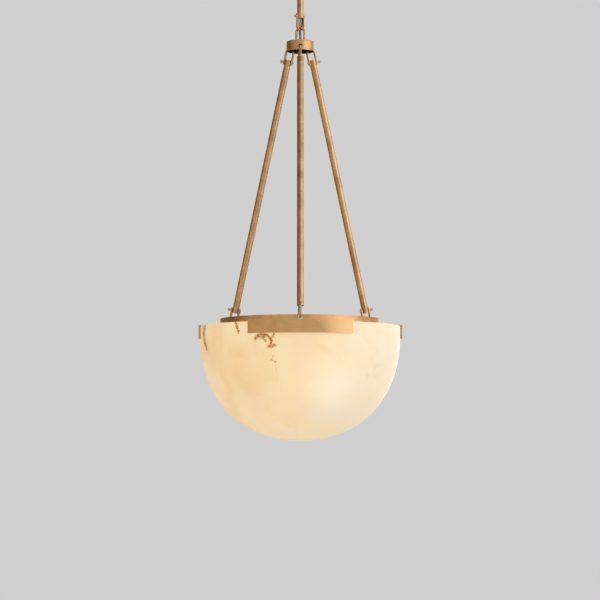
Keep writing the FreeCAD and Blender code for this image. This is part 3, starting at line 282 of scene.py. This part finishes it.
# Brown veins: azimuth in degrees and depth below the rim in millimetres, then the half width
VEINS = [
    ([(-72.4, 0.0), (-74.0, 18.0), (-70.4, 39.0), (-68.8, 56.0)], 2.6),
    ([(-69.6, 0.0), (-71.2, 15.0), (-73.6, 31.0), (-71.4, 47.0)], 1.6),
    ([(-38.6, 0.0), (-37.6, 12.0), (-36.9, 25.0)], 1.2),
    ([(-26.0, 41.0), (-24.8, 37.0), (-23.5, 31.0), (-21.2, 27.0), (-19.1, 31.0)], 2.0),
    ([(-19.1, 31.0), (-16.6, 39.0), (-16.3, 50.0), (-17.8, 56.5), (-14.2, 54.5)], 1.6),
    ([(-16.7, 39.0), (-15.2, 35.0), (-14.6, 29.0)], 1.1),
    ([(-25.0, 33.0), (-22.2, 37.0), (-19.4, 44.0)], 1.1),
    ([(-23.0, 29.0), (-20.4, 35.0), (-17.8, 33.0)], 1.4),
    ([(-15.2, 76.0), (-16.8, 87.0), (-14.4, 91.0)], 0.7),
    ([(-14.4, 98.0), (-14.0, 107.0)], 0.5),
    ([(-14.9, 128.0), (-14.6, 134.0)], 0.4),
    ([(-29.6, 36.0), (-26.6, 49.0), (-25.2, 76.0)], 0.35),
    ([(96.0, 22.0), (101.0, 46.0), (98.0, 74.0), (104.0, 96.0)], 1.2),
    ([(101.0, 46.0), (107.0, 52.0)], 0.8),
    ([(168.0, 6.0), (164.0, 30.0), (169.0, 47.0), (161.0, 70.0)], 1.5),
    ([(169.0, 47.0), (175.0, 58.0), (174.0, 83.0)], 0.8),
    ([(-141.0, 60.0), (-137.0, 84.0), (-143.0, 112.0)], 0.8),
]
VEIN_FULL = 1.2  # the half width from which a vein has its full strength
VEIN_OUTER, VEIN_INNER = 3.2, 0.3  # where it fades out and where it is full, in half widths

# How the veins stray from their lines: the scale of the noise and how far it pushes them
VEIN_STRAYS = ((26.0, 6.0 * MM), (160.0, 4.0 * MM), (430.0, 3.0 * MM))

# Round soft patches, painted lamp hot spots then blushes: azimuth in degrees, depth below rim in mm, weight
LAMP_HOT_SPOTS = [(21.0, 144.0, 0.75), (-78.0, 120.0, 0.35), (141.0, 140.0, 0.8), (-160.0, 150.0, 0.6)]
BLUSHES = [
    (3.0, 46.0, 0.9), (-58.0, 34.0, 0.6), (84.0, 40.0, 0.7),
    (-34.0, 196.0, 1.0), (6.0, 212.0, 0.8), (150.0, 40.0, 0.7),
]
HOT_SPOT_REACH, BLUSH_REACH, PATCH_R = 95 * MM, 62 * MM, BOWL_R * 0.88

# The lamps' light painted into the stone as glow: everywhere, more near a bulb, and more in a hot spot
GLOW, BULB_GLOW, HOT_SPOT_GLOW = 0.54, 0.06, 0.06
GLOW_TINT = (1.0, 0.93, 0.80)
GLOW_NEAR, GLOW_FAR = 0.08, 0.26  # distances from a bulb at which its glow is full, and gone


def vein_strength(f):
    """1 on a brown vein and 0 away from all of them, over azimuth arc and height."""
    split = f.add("SeparateXYZ", {"Vector": f.place}).outputs
    azimuth = f.math("ARCTAN2", split["X"], f.math("MULTIPLY", split["Y"], -1.0))
    arc = f.math("MULTIPLY", azimuth, BOWL_R)
    flat = f.add("CombineXYZ", {"X": arc, "Y": split["Z"], "Z": 0.0}).outputs["Vector"]
    for scale, reach in VEIN_STRAYS:
        wander = f.add("TexNoise", {"Vector": f.place, "Scale": scale, "Detail": 3.0}).outputs["Color"]
        push = f.vector("SCALE", f.vector("SUBTRACT", wander, (0.5, 0.5, 0.5)), scale=2 * reach)
        flat = f.vector("ADD", flat, push)
    flat = f.vector("MULTIPLY", flat, (1, 1, 0))
    strength = 0.0
    for stations, half_width in VEINS:
        ends = [Vector((math.radians(a) * BOWL_R, RIM_Z - d * MM, 0)) for a, d in stations]
        for start, end in zip(ends, ends[1:]):
            along = end - start
            offset = f.vector("SUBTRACT", flat, tuple(start))
            share = f.vector("DOT_PRODUCT", offset, tuple(along / along.length_squared))
            share = f.math("MINIMUM", f.math("MAXIMUM", share, 0.0), 1.0)
            foot = f.vector("SCALE", tuple(along), scale=share)
            gap = f.vector("DISTANCE", offset, foot)
            weight = min(1.0, half_width / VEIN_FULL)
            near = f.remap(gap, half_width * MM * VEIN_OUTER, half_width * MM * VEIN_INNER, 0.0, weight)
            strength = f.math("MAXIMUM", strength, near)
    return strength


def patches(f, places, spread):
    """The strongest of some round soft patches at a place, each fading out over a distance."""
    strongest = 0.0
    for azimuth, depth, weight in places:
        centre = polar(PATCH_R, azimuth, RIM_Z - depth * MM)
        gap = f.vector("DISTANCE", f.place, tuple(centre))
        strongest = f.math("MAXIMUM", strongest, f.remap(gap, spread, 0.0, 0.0, weight))
    return strongest


def cracks(f, scales, swirl, width, weight):
    """A weight on the thin walls of swirled, stretched cells, and 0 away from them."""
    cells = {"Vector": f.vector("ADD", f.scaled(*scales), swirl), "Scale": 1.0}
    gap = f.add("TexVoronoi", cells, feature="DISTANCE_TO_EDGE").outputs["Distance"]
    return f.remap(gap, width, 0.0, 0.0, weight)


def alabaster():
    """Polished alabaster: honey clouds, faint beds, brown veins, painted side light and shade, and the
    lamps' light painted in.
    """
    f = Finish("alabaster")
    across = f.add("SeparateXYZ", {"Vector": f.place}).outputs["X"]
    cloud = f.noise(7.0, 5.0, distortion=1.2)
    wisp = f.noise(1.0, 5.0, f.scaled(9, 9, 34), distortion=1.5)
    drift = f.math("MULTIPLY", f.math("SUBTRACT", cloud, 0.5), 0.5)
    # painted light and shade: warmer towards the left, paler towards the right
    side = f.remap(f.math("ADD", across, drift), SHADED_SIDE, LIT_SIDE)
    stone = f.ramp(side, (0.0, STONE_SHADED_WARM), (0.22, STONE_HONEY), (0.45, STONE_HONEY), (1.0, STONE_LIT_PALE))
    stone = f.mix(f.remap(wisp, 0.45, 0.75, 0.0, 0.35), stone, STONE_WISP)
    stone = f.mix(f.remap(cloud, 0.35, 0.2, 0.0, 0.1), stone, STONE_SHADE)
    swirl = f.add("TexNoise", {"Vector": f.place, "Scale": 14.0}).outputs["Color"]
    stone = f.mix(cracks(f, (9, 9, 15), swirl, 0.03, 0.10), stone, STONE_BED)
    stone = f.mix(cracks(f, (17, 17, 12), swirl, 0.02, 0.22), stone, STONE_HAIR)

    # painted light: hot spots where the lamps shine brighter through the stone, paler and glowing more
    hot_spot = patches(f, LAMP_HOT_SPOTS, HOT_SPOT_REACH)
    stone = f.mix(f.math("MULTIPLY", hot_spot, 0.75), stone, STONE_HOT_SPOT)
    stone = f.mix(f.math("MULTIPLY", patches(f, BLUSHES, BLUSH_REACH), 0.6), stone, STONE_BLUSH)

    vein = vein_strength(f)
    fray = f.noise(230.0, 4.0, rough=0.7)
    broken = f.math("MULTIPLY", f.math("POWER", vein, 1.4), f.remap(fray, 0.42, 0.56))
    halo = f.math("MULTIPLY", f.math("POWER", vein, 0.9), f.remap(fray, 0.30, 0.50, 0.35, 0.88))
    stone = f.mix(halo, stone, VEIN_HALO)
    stone = f.mix(f.math("MULTIPLY", broken, 0.9), stone, VEIN_CORE)

    # painted light: emission stands in for the lamps' light coming through the stone
    glow = 0.0
    for centre in BULB_CENTRES:
        gap = f.vector("DISTANCE", f.place, tuple(centre))
        glow = f.math("ADD", glow, f.remap(gap, GLOW_FAR, GLOW_NEAR, 0.0, BULB_GLOW))
    glow = f.math("ADD", glow, f.math("MULTIPLY", hot_spot, HOT_SPOT_GLOW))
    f.set(Base_Color=stone, Roughness=0.42, Specular_IOR_Level=0.16)
    f.set(Emission_Color=f.mix(1.0, stone, GLOW_TINT, "MULTIPLY"))
    f.set(Emission_Strength=f.math("ADD", glow, GLOW))
    relief = f.math("ADD", f.noise(40.0, 3.0), f.math("MULTIPLY", broken, -0.5))
    f.bump(relief, 0.12 * MM, 0.5)
    return f.material


# ---------------------------------------------------------------- meshes
def mesh_piece(name, bm, body, material, sharp=35.0):
    """Finish a bmesh as a smooth piece that rides on a body."""
    bmesh.ops.recalc_face_normals(bm, faces=bm.faces)
    for face in bm.faces:
        face.smooth = True
    for edge in bm.edges:
        if len(edge.link_faces) == 2 and edge.calc_face_angle() > math.radians(sharp):
            edge.smooth = False
    mesh = bpy.data.meshes.new(name)
    bm.to_mesh(mesh)
    bm.free()
    piece = bpy.data.objects.new(name, mesh)
    bpy.context.scene.collection.objects.link(piece)
    mesh.materials.append(material)
    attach(piece, body)
    return piece


def lathed(outline, steps, ripple):
    """An outline of (r, z) points turned about Z with a slight ripple; a point on the axis stays one."""
    bm = bmesh.new()
    rings = []
    for r, z in outline:
        if r < 1e-7:
            rings.append([bm.verts.new((0, 0, z))])
            continue
        ring = []
        for k in range(steps):
            point = polar(r, 360.0 * k / steps, z)
            push = ripple * noise.noise(point * RIPPLE_SCALE)
            ring.append(bm.verts.new(point + Vector((point.x, point.y, 0)).normalized() * push))
        rings.append(ring)
    for a, b in zip(rings, rings[1:]):
        for k in range(steps):
            quad = [a[k % len(a)], a[(k + 1) % len(a)], b[(k + 1) % len(b)], b[k % len(b)]]
            unique = list(dict.fromkeys(quad))
            if len(unique) > 2:
                bm.faces.new(unique)
    return bm


def bowl_curve(r, depth, count):
    """The bowl's rounded outline from its wall down to the axis."""
    centre = RIM_Z - BOWL_SKIRT
    points = []
    for k in range(count + 1):
        a = math.radians(90.0 * k / count)
        x = r * math.cos(a) ** (2 / BOWL_POWER) if k < count else 0.0
        points.append((x, centre - depth * math.sin(a) ** (2 / BOWL_POWER)))
    return points


def alabaster_bowl():
    """The stone bowl with its rounded rim."""
    depth, inner_r = BOWL_DEPTH - BOWL_SKIRT, BOWL_R - BOWL_WALL
    inside = bowl_curve(inner_r, depth - BOWL_WALL, INNER_STEPS)
    outside = bowl_curve(BOWL_R, depth, OUTER_STEPS)
    turns = [math.radians(90.0 * k / RIM_STEPS) for k in range(RIM_STEPS + 1)]
    rim = [(inner_r + RIM_ROUND * (1 - math.cos(a)), RIM_Z - RIM_ROUND * (1 - math.sin(a))) for a in turns]
    rim += [(BOWL_R - RIM_ROUND * (1 - math.sin(a)), RIM_Z - RIM_ROUND * (1 - math.cos(a))) for a in turns]
    bm = lathed(inside[::-1] + rim + outside, BOWL_STEPS, STONE_RIPPLE)
    piece = mesh_piece("alabaster_stone", bm, "bowl", alabaster())
    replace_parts(piece, "alabaster_bowl")


LEAD_STEPS, LEAD_ROUNDNESS = 10, 5


def lead(name, points, radius, colour):
    """A lead as a mesh tube along a NURBS curve near given points in millimetres, with no parent."""
    curve = bpy.data.curves.new(name, "CURVE")
    curve.dimensions = "3D"
    spline = curve.splines.new("NURBS")
    spline.points.add(len(points) - 1)
    for control, point in zip(spline.points, points):
        control.co = (*(Vector(point) * MM), 1)
    spline.order_u = 3
    spline.use_endpoint_u = True
    spline.resolution_u = LEAD_STEPS
    curve.bevel_depth = radius
    curve.bevel_resolution = LEAD_ROUNDNESS
    curve.use_fill_caps = True
    source = bpy.data.objects.new(name + "_line", curve)
    mesh = bpy.data.meshes.new_from_object(source)
    bpy.data.objects.remove(source)
    mesh.name = name
    piece = bpy.data.objects.new(name, mesh)
    bpy.context.scene.collection.objects.link(piece)
    mesh.materials.clear()
    mesh.materials.append(INSULATION[colour])
    for face in mesh.polygons:
        face.use_smooth = True
    return piece


# ---------------------------------------------------------------- the leads' routes, in millimetres
LEAD_R, LINK_LEAD_R, LAMP_LEAD_R = 1.15 * MM, 1.35 * MM, 1.2 * MM
SHACKLE_OUTER, SHACKLE_RUN, LEAD_X, LEAD_PITCH = 11.9, 16.6, -3.2, 2.2
RING_BEND_R, HUB_BEND_R, LINK_STRAP_T = 179.4, 28.05, 3.0
SPLICE_SPACING, SPLICE_RISE = 16, 5.1

# Each splice cap's place along X, and the side of its mouth that the lead to a lamp takes
SPLICES = ((-SPLICE_SPACING, -1), (0, -1), (SPLICE_SPACING, 1))


def front_rod(k, below):
    """A point on lead k in the front rod, a distance below the rod's top, or above its foot if negative."""
    top = Vector((0, -HUB_BEND_R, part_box("upper_shackle_front")[1].z / MM - SHACKLE_OUTER))
    foot = Vector((0, -RING_BEND_R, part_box("lower_shackle_front")[0].z / MM + SHACKLE_OUTER))
    down = (foot - top).normalized()
    outward = (Vector((0, -1, 0)) + down * down.y).normalized()
    length = (foot - top).length - 2 * SHACKLE_RUN
    below = below if below >= 0 else length + below
    return top + down * (SHACKLE_RUN + below) + Vector((LEAD_X, 0, 0)) + outward * ((1 - k) * LEAD_PITCH)


def link_leads():
    """Three leads from the stem past the link to the hub, each in two lengths that meet at the link."""
    stem_end, hub_top = STEM_END / MM, HUB_TOP_Z / MM
    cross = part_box("stem_link")[0].z / MM + LINK_STRAP_T / 2
    levels = (stem_end + 6, stem_end - 4, cross + 6, cross - 6, hub_top + 11, hub_top - 2)
    routes = {
        CABLE_GREEN: ((-3.6, 3.4), (-3.4, 5.4), (-2.6, 9.4), (-2.4, 9.0), (-1.6, 2.4), (-1.2, 0)),
        CABLE_BLACK: ((3.6, 1.2), (3.7, 1.6), (2.9, 9.6), (-1.0, 11.9), (-1.0, 5.4), (0.6, 2.4)),
        CABLE_WHITE: ((0.4, 4.4), (0.4, 5.0), (0.0, 8.6), (1.6, 8.6), (2.6, 2.4), (2.8, 0)),
    }
    for colour, route in routes.items():
        points = [Vector((x, y, z)) for (x, y), z in zip(route, levels)]
        middle = (points[2] + points[3]) / 2
        upper = lead(f"link_lead_{colour}_upper", points[:3] + [middle], LINK_LEAD_R, colour)
        lower = lead(f"link_lead_{colour}_lower", [middle] + points[3:], LINK_LEAD_R, colour)
        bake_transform(upper)
        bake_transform(lower)
        for piece in (upper, lower):
            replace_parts(piece, "link_leads")


def hub_leads():
    """Three leads from the grommet, under the hub's rim, into the front rod."""
    roof, rim = HUB_TOP_Z / MM - 3, HUB_Z / MM
    for k, colour in enumerate(CABLES):
        x, below = (k - 1) * LEAD_PITCH, 3.0 * k
        points = [(x, 0, roof), (x, 0, roof - 7.2 - below), (-6.2 + k, -10, rim + 5.8 - below)]
        points += [(-6.2, -18.5 + 0.5 * k, rim - 2.2 - 2.3 * k)]
        points += [(-4.6, -32.4 + 1.9 * k, rim - 6.5 - 2.2 * k)]
        points += [front_rod(k, 2), front_rod(k, 12)]
        piece = lead("hub_lead_" + colour, points, LEAD_R, colour)
        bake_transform(piece)
        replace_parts(piece, "hub_leads")


def pan_leads():
    """The three leads from the rod's foot over the pan plate to the splice caps, and on to the lamps."""
    plate = PAN_TOP / MM
    lie, cap = plate + 1.2, plate + SPLICE_RISE
    ring_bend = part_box("lower_shackle_front")[0].z / MM + SHACKLE_OUTER
    for k, (colour, (x, way)) in enumerate(zip(CABLES, SPLICES)):
        out, over, end_x = (k - 1) * 2.0 - RING_BEND_R, lie + 2.2 * k, x - 1.7 * way
        points = [front_rod(k, -12), front_rod(k, -2), (-4.6, out + 4.2, ring_bend + 8)]
        points += [(-5.3, out + 5.8, ring_bend - 8), (-5.3, out + 7.4, over + 4), (-5.3, out + 14, over)]
        points += [(-5.2, -130, over), (0.55 * x, -90, lie), (end_x, -50, lie), (end_x, -30, cap + 0.6)]
        points += [(end_x, -14, cap), (end_x, 4, cap)]
        piece = lead("pan_lead_" + colour, points, LEAD_R, colour)
        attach(piece, "bowl")
        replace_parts(piece, "pan_leads")
    far, top = plate + 1.3, plate + 7
    round_cap = ((-24, -30), (-40, -27), (-50, -10), (-50, 16), (-34, 48))
    ways = (((31, -30),), round_cap, ((-12, -37),))
    arch = ((36, far + 0.2), (26, far + 2), (19, top + 2), (17.8, top + 9.4))
    arch += ((12.8, top + 16.2), (4.8, top + 16.2), (0, top + 9.4), (0, top - 8))
    for k, splice in enumerate((2, 0, 1)):
        x, way = SPLICES[splice]
        lamp = Vector((BULB_CENTRES[k].x, BULB_CENTRES[k].y, 0)) / MM
        start = x + 1.9 * way
        points = [(start, 4, cap), (start, -9, cap), (start + 0.5 * way, -20, far)]
        points += [(a, b, far) for a, b in ways[k]]
        side = (lamp - Vector((points[-1][0], points[-1][1], 0))).normalized()
        points += [lamp - side * back + Vector((0, 0, z)) for back, z in arch]
        piece = lead(f"lamp_lead_{k + 1}", points, LAMP_LEAD_R, CABLE_WHITE)
        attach(piece, "bowl")
        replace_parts(piece, "pan_leads")


# A wire connector in millimetres: distance from its mouth and radius, then its flutes
CAP_PROFILE = ((0, 3.6), (0, 5.0), (3.0, 5.0), (3.4, 4.7), (14.6, 3.6), (16.4, 2.9), (17.0, 1.6), (17.0, 0))
FLUTE_FROM, FLUTE_TO, FLUTE_DEPTH, FLUTE_STEPS = 3.2, 15, 0.35, 4
CAP_STEPS, CAP_SHARP = 48, 50.0


def fluted_cap(name, mouth, direction, body, material, stands_for):
    """A moulded wire connector: a fluted cone with a plain collar, open end at mouth."""
    bm, rings, steps = bmesh.new(), [], CAP_STEPS
    for along, r in CAP_PROFILE:
        ring = []
        for k in range(steps):
            fluted = FLUTE_FROM < along < FLUTE_TO and k % FLUTE_STEPS < FLUTE_STEPS / 2
            flute = FLUTE_DEPTH if fluted else 0.0
            a, reach = math.tau * k / steps, max(r - flute, 0.0) * MM
            ring.append(bm.verts.new((reach * math.cos(a), reach * math.sin(a), along * MM)))
        rings.append(ring)
    for a, b in zip(rings, rings[1:]):
        for k in range(steps):
            bm.faces.new((a[k], a[(k + 1) % steps], b[(k + 1) % steps], b[k]))
    bmesh.ops.remove_doubles(bm, verts=bm.verts, dist=1e-6)
    turn = Vector(direction).to_track_quat("Z", "Y").to_matrix().to_4x4()
    bm.transform(Matrix.Translation(mouth) @ turn)
    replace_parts(mesh_piece(name, bm, body, material, CAP_SHARP), stands_for)


# ---------------------------------------------------------------- finishes on the CAD nodes
def dress(names, material):
    """Put a material in every slot of these CAD nodes."""
    for name in names:
        slots = nodes[name].material_slots
        for slot in slots:
            slot.material = material
        if not slots:
            nodes[name].data.materials.append(material)


CONNECTOR_SPACING, CONNECTOR_FORWARD, CONNECTOR_STAGGER = 13, 30, 3


def connectors():
    """The wire connectors over the canopy and the splice caps on the pan plate."""
    shell = coated("connector_shell", (0.62, 0.17, 0.03), (0.5, 0.12, 0.02), 0.45, 0.08 * MM)
    low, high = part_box("wire_connectors")
    z = (low.z + high.z) / 2
    for k, x in enumerate((-CONNECTOR_SPACING, 0, CONNECTOR_SPACING)):
        y = -CONNECTOR_FORWARD - CONNECTOR_STAGGER * (k % 2)
        name, mouth = f"wire_connector_{k + 1}", Vector((x * MM, y * MM, z))
        fluted_cap(name, mouth, (0, -1, 0), "ceiling", shell, "wire_connectors")
    shell = coated("splice_shell", (0.78, 0.74, 0.62), (0.70, 0.66, 0.54), 0.4, 0.06 * MM)
    for k, (x, _) in enumerate(SPLICES):
        name, mouth = f"splice_cap_{k + 1}", Vector((x * MM, 0, PAN_TOP + SPLICE_RISE * MM))
        fluted_cap(name, mouth, (0, 1, 0), "bowl", shell, "splice_caps")


# How far in from the outer surface the painted inner shade starts, at the hub's side and top and at the
# ring's side
HUB_SKIN, HUB_TOP_SKIN, RING_SKIN = 1.2 * MM, 1 * MM, 0.8 * MM


def dress_cad():
    """A finish for each CAD node."""
    turned = brass("brass_turned", TURNED_GRAIN)
    drawn = brass("brass_drawn", DRAWN_GRAIN, 0.0, 0.2)
    strap = brass("brass_strap", STRAP_GRAIN, 0.02, 0.25)
    sheet = brass("brass_sheet", SHEET_GRAIN, 0.06)
    dress(["canopy", "swivel_head", "swivel_retainer", "swivel_fork", "stem_knuckle"], turned)
    hub_r, ring_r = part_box("hub_cup")[1].x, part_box("light_ring")[1].x
    roof = HUB_TOP_Z - HUB_TOP_SKIN
    dress(["hub_cup"], brass("brass_hub", TURNED_GRAIN, inside=hub_r - HUB_SKIN, roof=roof))
    dress(["light_ring"], brass("brass_ring", TURNED_GRAIN, -0.08, inside=ring_r - RING_SKIN))
    dress(["stem"] + ["rod_" + h for h in HANGERS], drawn)
    knob = brass("brass_knob", STRAP_GRAIN, 0.10, 0.25, shade=0.12)
    dress(["stem_link", "hub_loop"], strap)
    dress([f"{part}_{h}" for part in ("upper_shackle", "lower_shackle") for h in HANGERS], strap)
    dress(["swivel_pin", "stem_link_pin", "canopy_knobs"] + ["cross_pins_" + h for h in HANGERS], knob)
    dress(["rim_clip_" + h for h in HANGERS], sheet)
    steel = ["crossbar", "hanging_nipple", "nipple_nuts", "canopy_studs", "ground_screw", "hub_loop_nuts"]
    steel += ["pan_screws", "socket_holders", "clip_studs", "clip_nuts", "ring_screws", "screw_shells"]
    dress(steel + ["bracket_" + h for h in HANGERS], zinc())
    dress(["pan_plate"], coated("white_enamel", (0.80, 0.79, 0.75), (0.74, 0.73, 0.69), 0.35, 0.05 * MM))
    dress(["lamp_sockets"], coated("porcelain", (0.86, 0.85, 0.81), (0.80, 0.79, 0.74), 0.15, 0.03 * MM))
    gasket = coated("gasket_rubber", (0.10, 0.09, 0.08), (0.06, 0.055, 0.05), 0.75, 0.08 * MM)
    dress(["stone_gaskets"], gasket)
    grommet = coated("grommet_rubber", (0.03, 0.03, 0.03), (0.018, 0.018, 0.018), 0.6, 0.05 * MM)
    dress(["hub_grommet"], grommet)
    dress([f"bulb_{k}" for k in (1, 2, 3)], frosted_bulb())
    dress(["swivel_leads", "stem_leads", "rod_leads", "supply_leads"], INSULATION[CABLE_BLACK])


# ---------------------------------------------------------------- camera, light and stage
CAMERA_DISTANCE, CAMERA_BELOW, CAMERA_X, CAMERA_PITCH = 5.425, 67.1 * MM, -0.9 * MM, 0.0715
FOCAL_PIXELS, IMAGE_PIXELS, SENSOR = 2372.6, 600, 36.0
BACKDROP, SURROUND = (0.63, 0.63, 0.635), (1.0, 0.97, 0.92)
COOL, WARM = (0.92, 1.0, 1.22), (1.0, 0.94, 0.84)
CAMERA_REACH = 200

# Strength of the surroundings, from the left side to the right one, and where the change begins and ends
SURROUND_LEVELS, SURROUND_SPAN = (0.15, 0.64), (-0.9, 0.7)
FLOOR_Z, FLOOR_HALF, FLOOR_GLOW = -5.0, 60.0, 0.53


def camera():
    """The camera below the bowl's level, looking a little up."""
    data = bpy.data.cameras.new("camera")
    data.sensor_width = SENSOR
    data.lens = FOCAL_PIXELS / IMAGE_PIXELS * SENSOR
    data.clip_end = CAMERA_REACH
    made = bpy.data.objects.new("camera", data)
    bpy.context.scene.collection.objects.link(made)
    made.location = (CAMERA_X, -CAMERA_DISTANCE, BOWL_Z - CAMERA_BELOW)
    made.rotation_euler = (math.pi / 2 + CAMERA_PITCH, 0, 0)
    bpy.context.scene.camera = made


def area_light(name, place, aim, width, height, power, colour=(1, 1, 1), diffuse=True, gloss=True):
    """A soft box that faces a point, and whether it shows in matt and in glossy surfaces."""
    data = bpy.data.lights.new(name, "AREA")
    data.shape, data.size, data.size_y = "RECTANGLE", width, height
    data.energy, data.color = power, colour
    made = bpy.data.objects.new(name, data)
    bpy.context.scene.collection.objects.link(made)
    made.visible_diffuse, made.visible_glossy = diffuse, gloss
    made.location = place
    made.rotation_euler = (Vector(aim) - Vector(place)).to_track_quat("-Z", "Y").to_euler()


def world():
    """Soft surroundings, darker on the left, that the camera sees as a plain pale backdrop."""
    made = bpy.data.worlds.new("studio")
    bpy.context.scene.world = made
    made.use_nodes = True
    tree = made.node_tree
    tree.nodes.clear()
    add = tree.nodes.new
    coordinates, split = add("ShaderNodeTexCoord"), add("ShaderNodeSeparateXYZ")
    side, path = add("ShaderNodeMapRange"), add("ShaderNodeLightPath")
    seen, around = add("ShaderNodeBackground"), add("ShaderNodeBackground")
    choose, out = add("ShaderNodeMixShader"), add("ShaderNodeOutputWorld")
    link = tree.links.new
    link(coordinates.outputs["Generated"], split.inputs["Vector"])
    link(split.outputs["X"], side.inputs["Value"])
    side.interpolation_type = "SMOOTHSTEP"
    for key, (low, high) in (("From", SURROUND_SPAN), ("To", SURROUND_LEVELS)):
        side.inputs[key + " Min"].default_value = low
        side.inputs[key + " Max"].default_value = high
    link(side.outputs["Result"], around.inputs["Strength"])
    around.inputs["Color"].default_value = (*SURROUND, 1)
    seen.inputs["Color"].default_value = (*BACKDROP, 1)
    link(path.outputs["Is Camera Ray"], choose.inputs["Fac"])
    link(around.outputs["Background"], choose.inputs[1])
    link(seen.outputs["Background"], choose.inputs[2])
    link(choose.outputs["Shader"], out.inputs["Surface"])


def floor():
    """A pale floor far below the lamp, close to the backdrop's tone."""
    f = Finish("floor")
    f.set(Base_Color=(*BACKDROP, 1), Roughness=0.9)
    ray = f.add("LightPath").outputs["Is Camera Ray"]
    f.set(Emission_Color=(*BACKDROP, 1), Emission_Strength=f.math("MULTIPLY", ray, FLOOR_GLOW))
    bm = bmesh.new()
    bmesh.ops.create_grid(bm, x_segments=1, y_segments=1, size=FLOOR_HALF)
    mesh = bpy.data.meshes.new("floor")
    bm.to_mesh(mesh)
    bm.free()
    made = bpy.data.objects.new("floor", mesh)
    bpy.context.scene.collection.objects.link(made)
    made.location.z = FLOOR_Z
    mesh.materials.append(f.material)


def studio():
    """Camera, lights, surroundings and floor."""
    camera()
    middle = (0, 0, (BOWL_Z + HUB_Z) / 2)
    area_light("key", (2.8, -2.2, -0.1), middle, 2.6, 2.6, 10)
    area_light("key_sheen", (3.2, -1.7, -0.2), middle, 4.2, 3.0, 43, COOL, diffuse=False)
    area_light("front_sheen", (-1.1, -4.0, -0.7), middle, 4.6, 2.2, 19, WARM, diffuse=False)
    area_light("left_sheen", (-3.6, -2.3, -0.8), middle, 2.8, 1.8, 12, WARM, diffuse=False)
    area_light("fill", (-3.0, -2.4, -0.9), middle, 2.0, 2.4, 16, gloss=False)
    area_light("top", (0.2, 0.4, 1.6), middle, 2.0, 2.0, 16)
    area_light("back", (1.2, 3.0, -0.4), middle, 2.0, 2.4, 16)
    world()
    floor()
    bpy.context.scene.view_settings.view_transform = "Standard"


INSULATION = {
    CABLE_GREEN: insulation("insulation_green", (0.22, 0.30, 0.20), (0.13, 0.19, 0.12)),
    CABLE_BLACK: insulation("insulation_black", (0.022, 0.022, 0.022), (0.012, 0.012, 0.012)),
    CABLE_WHITE: insulation("insulation_white", (0.80, 0.79, 0.74), (0.70, 0.69, 0.63)),
}
studio()
dress_cad()
alabaster_bowl()
link_leads()
hub_leads()
pan_leads()
connectors()
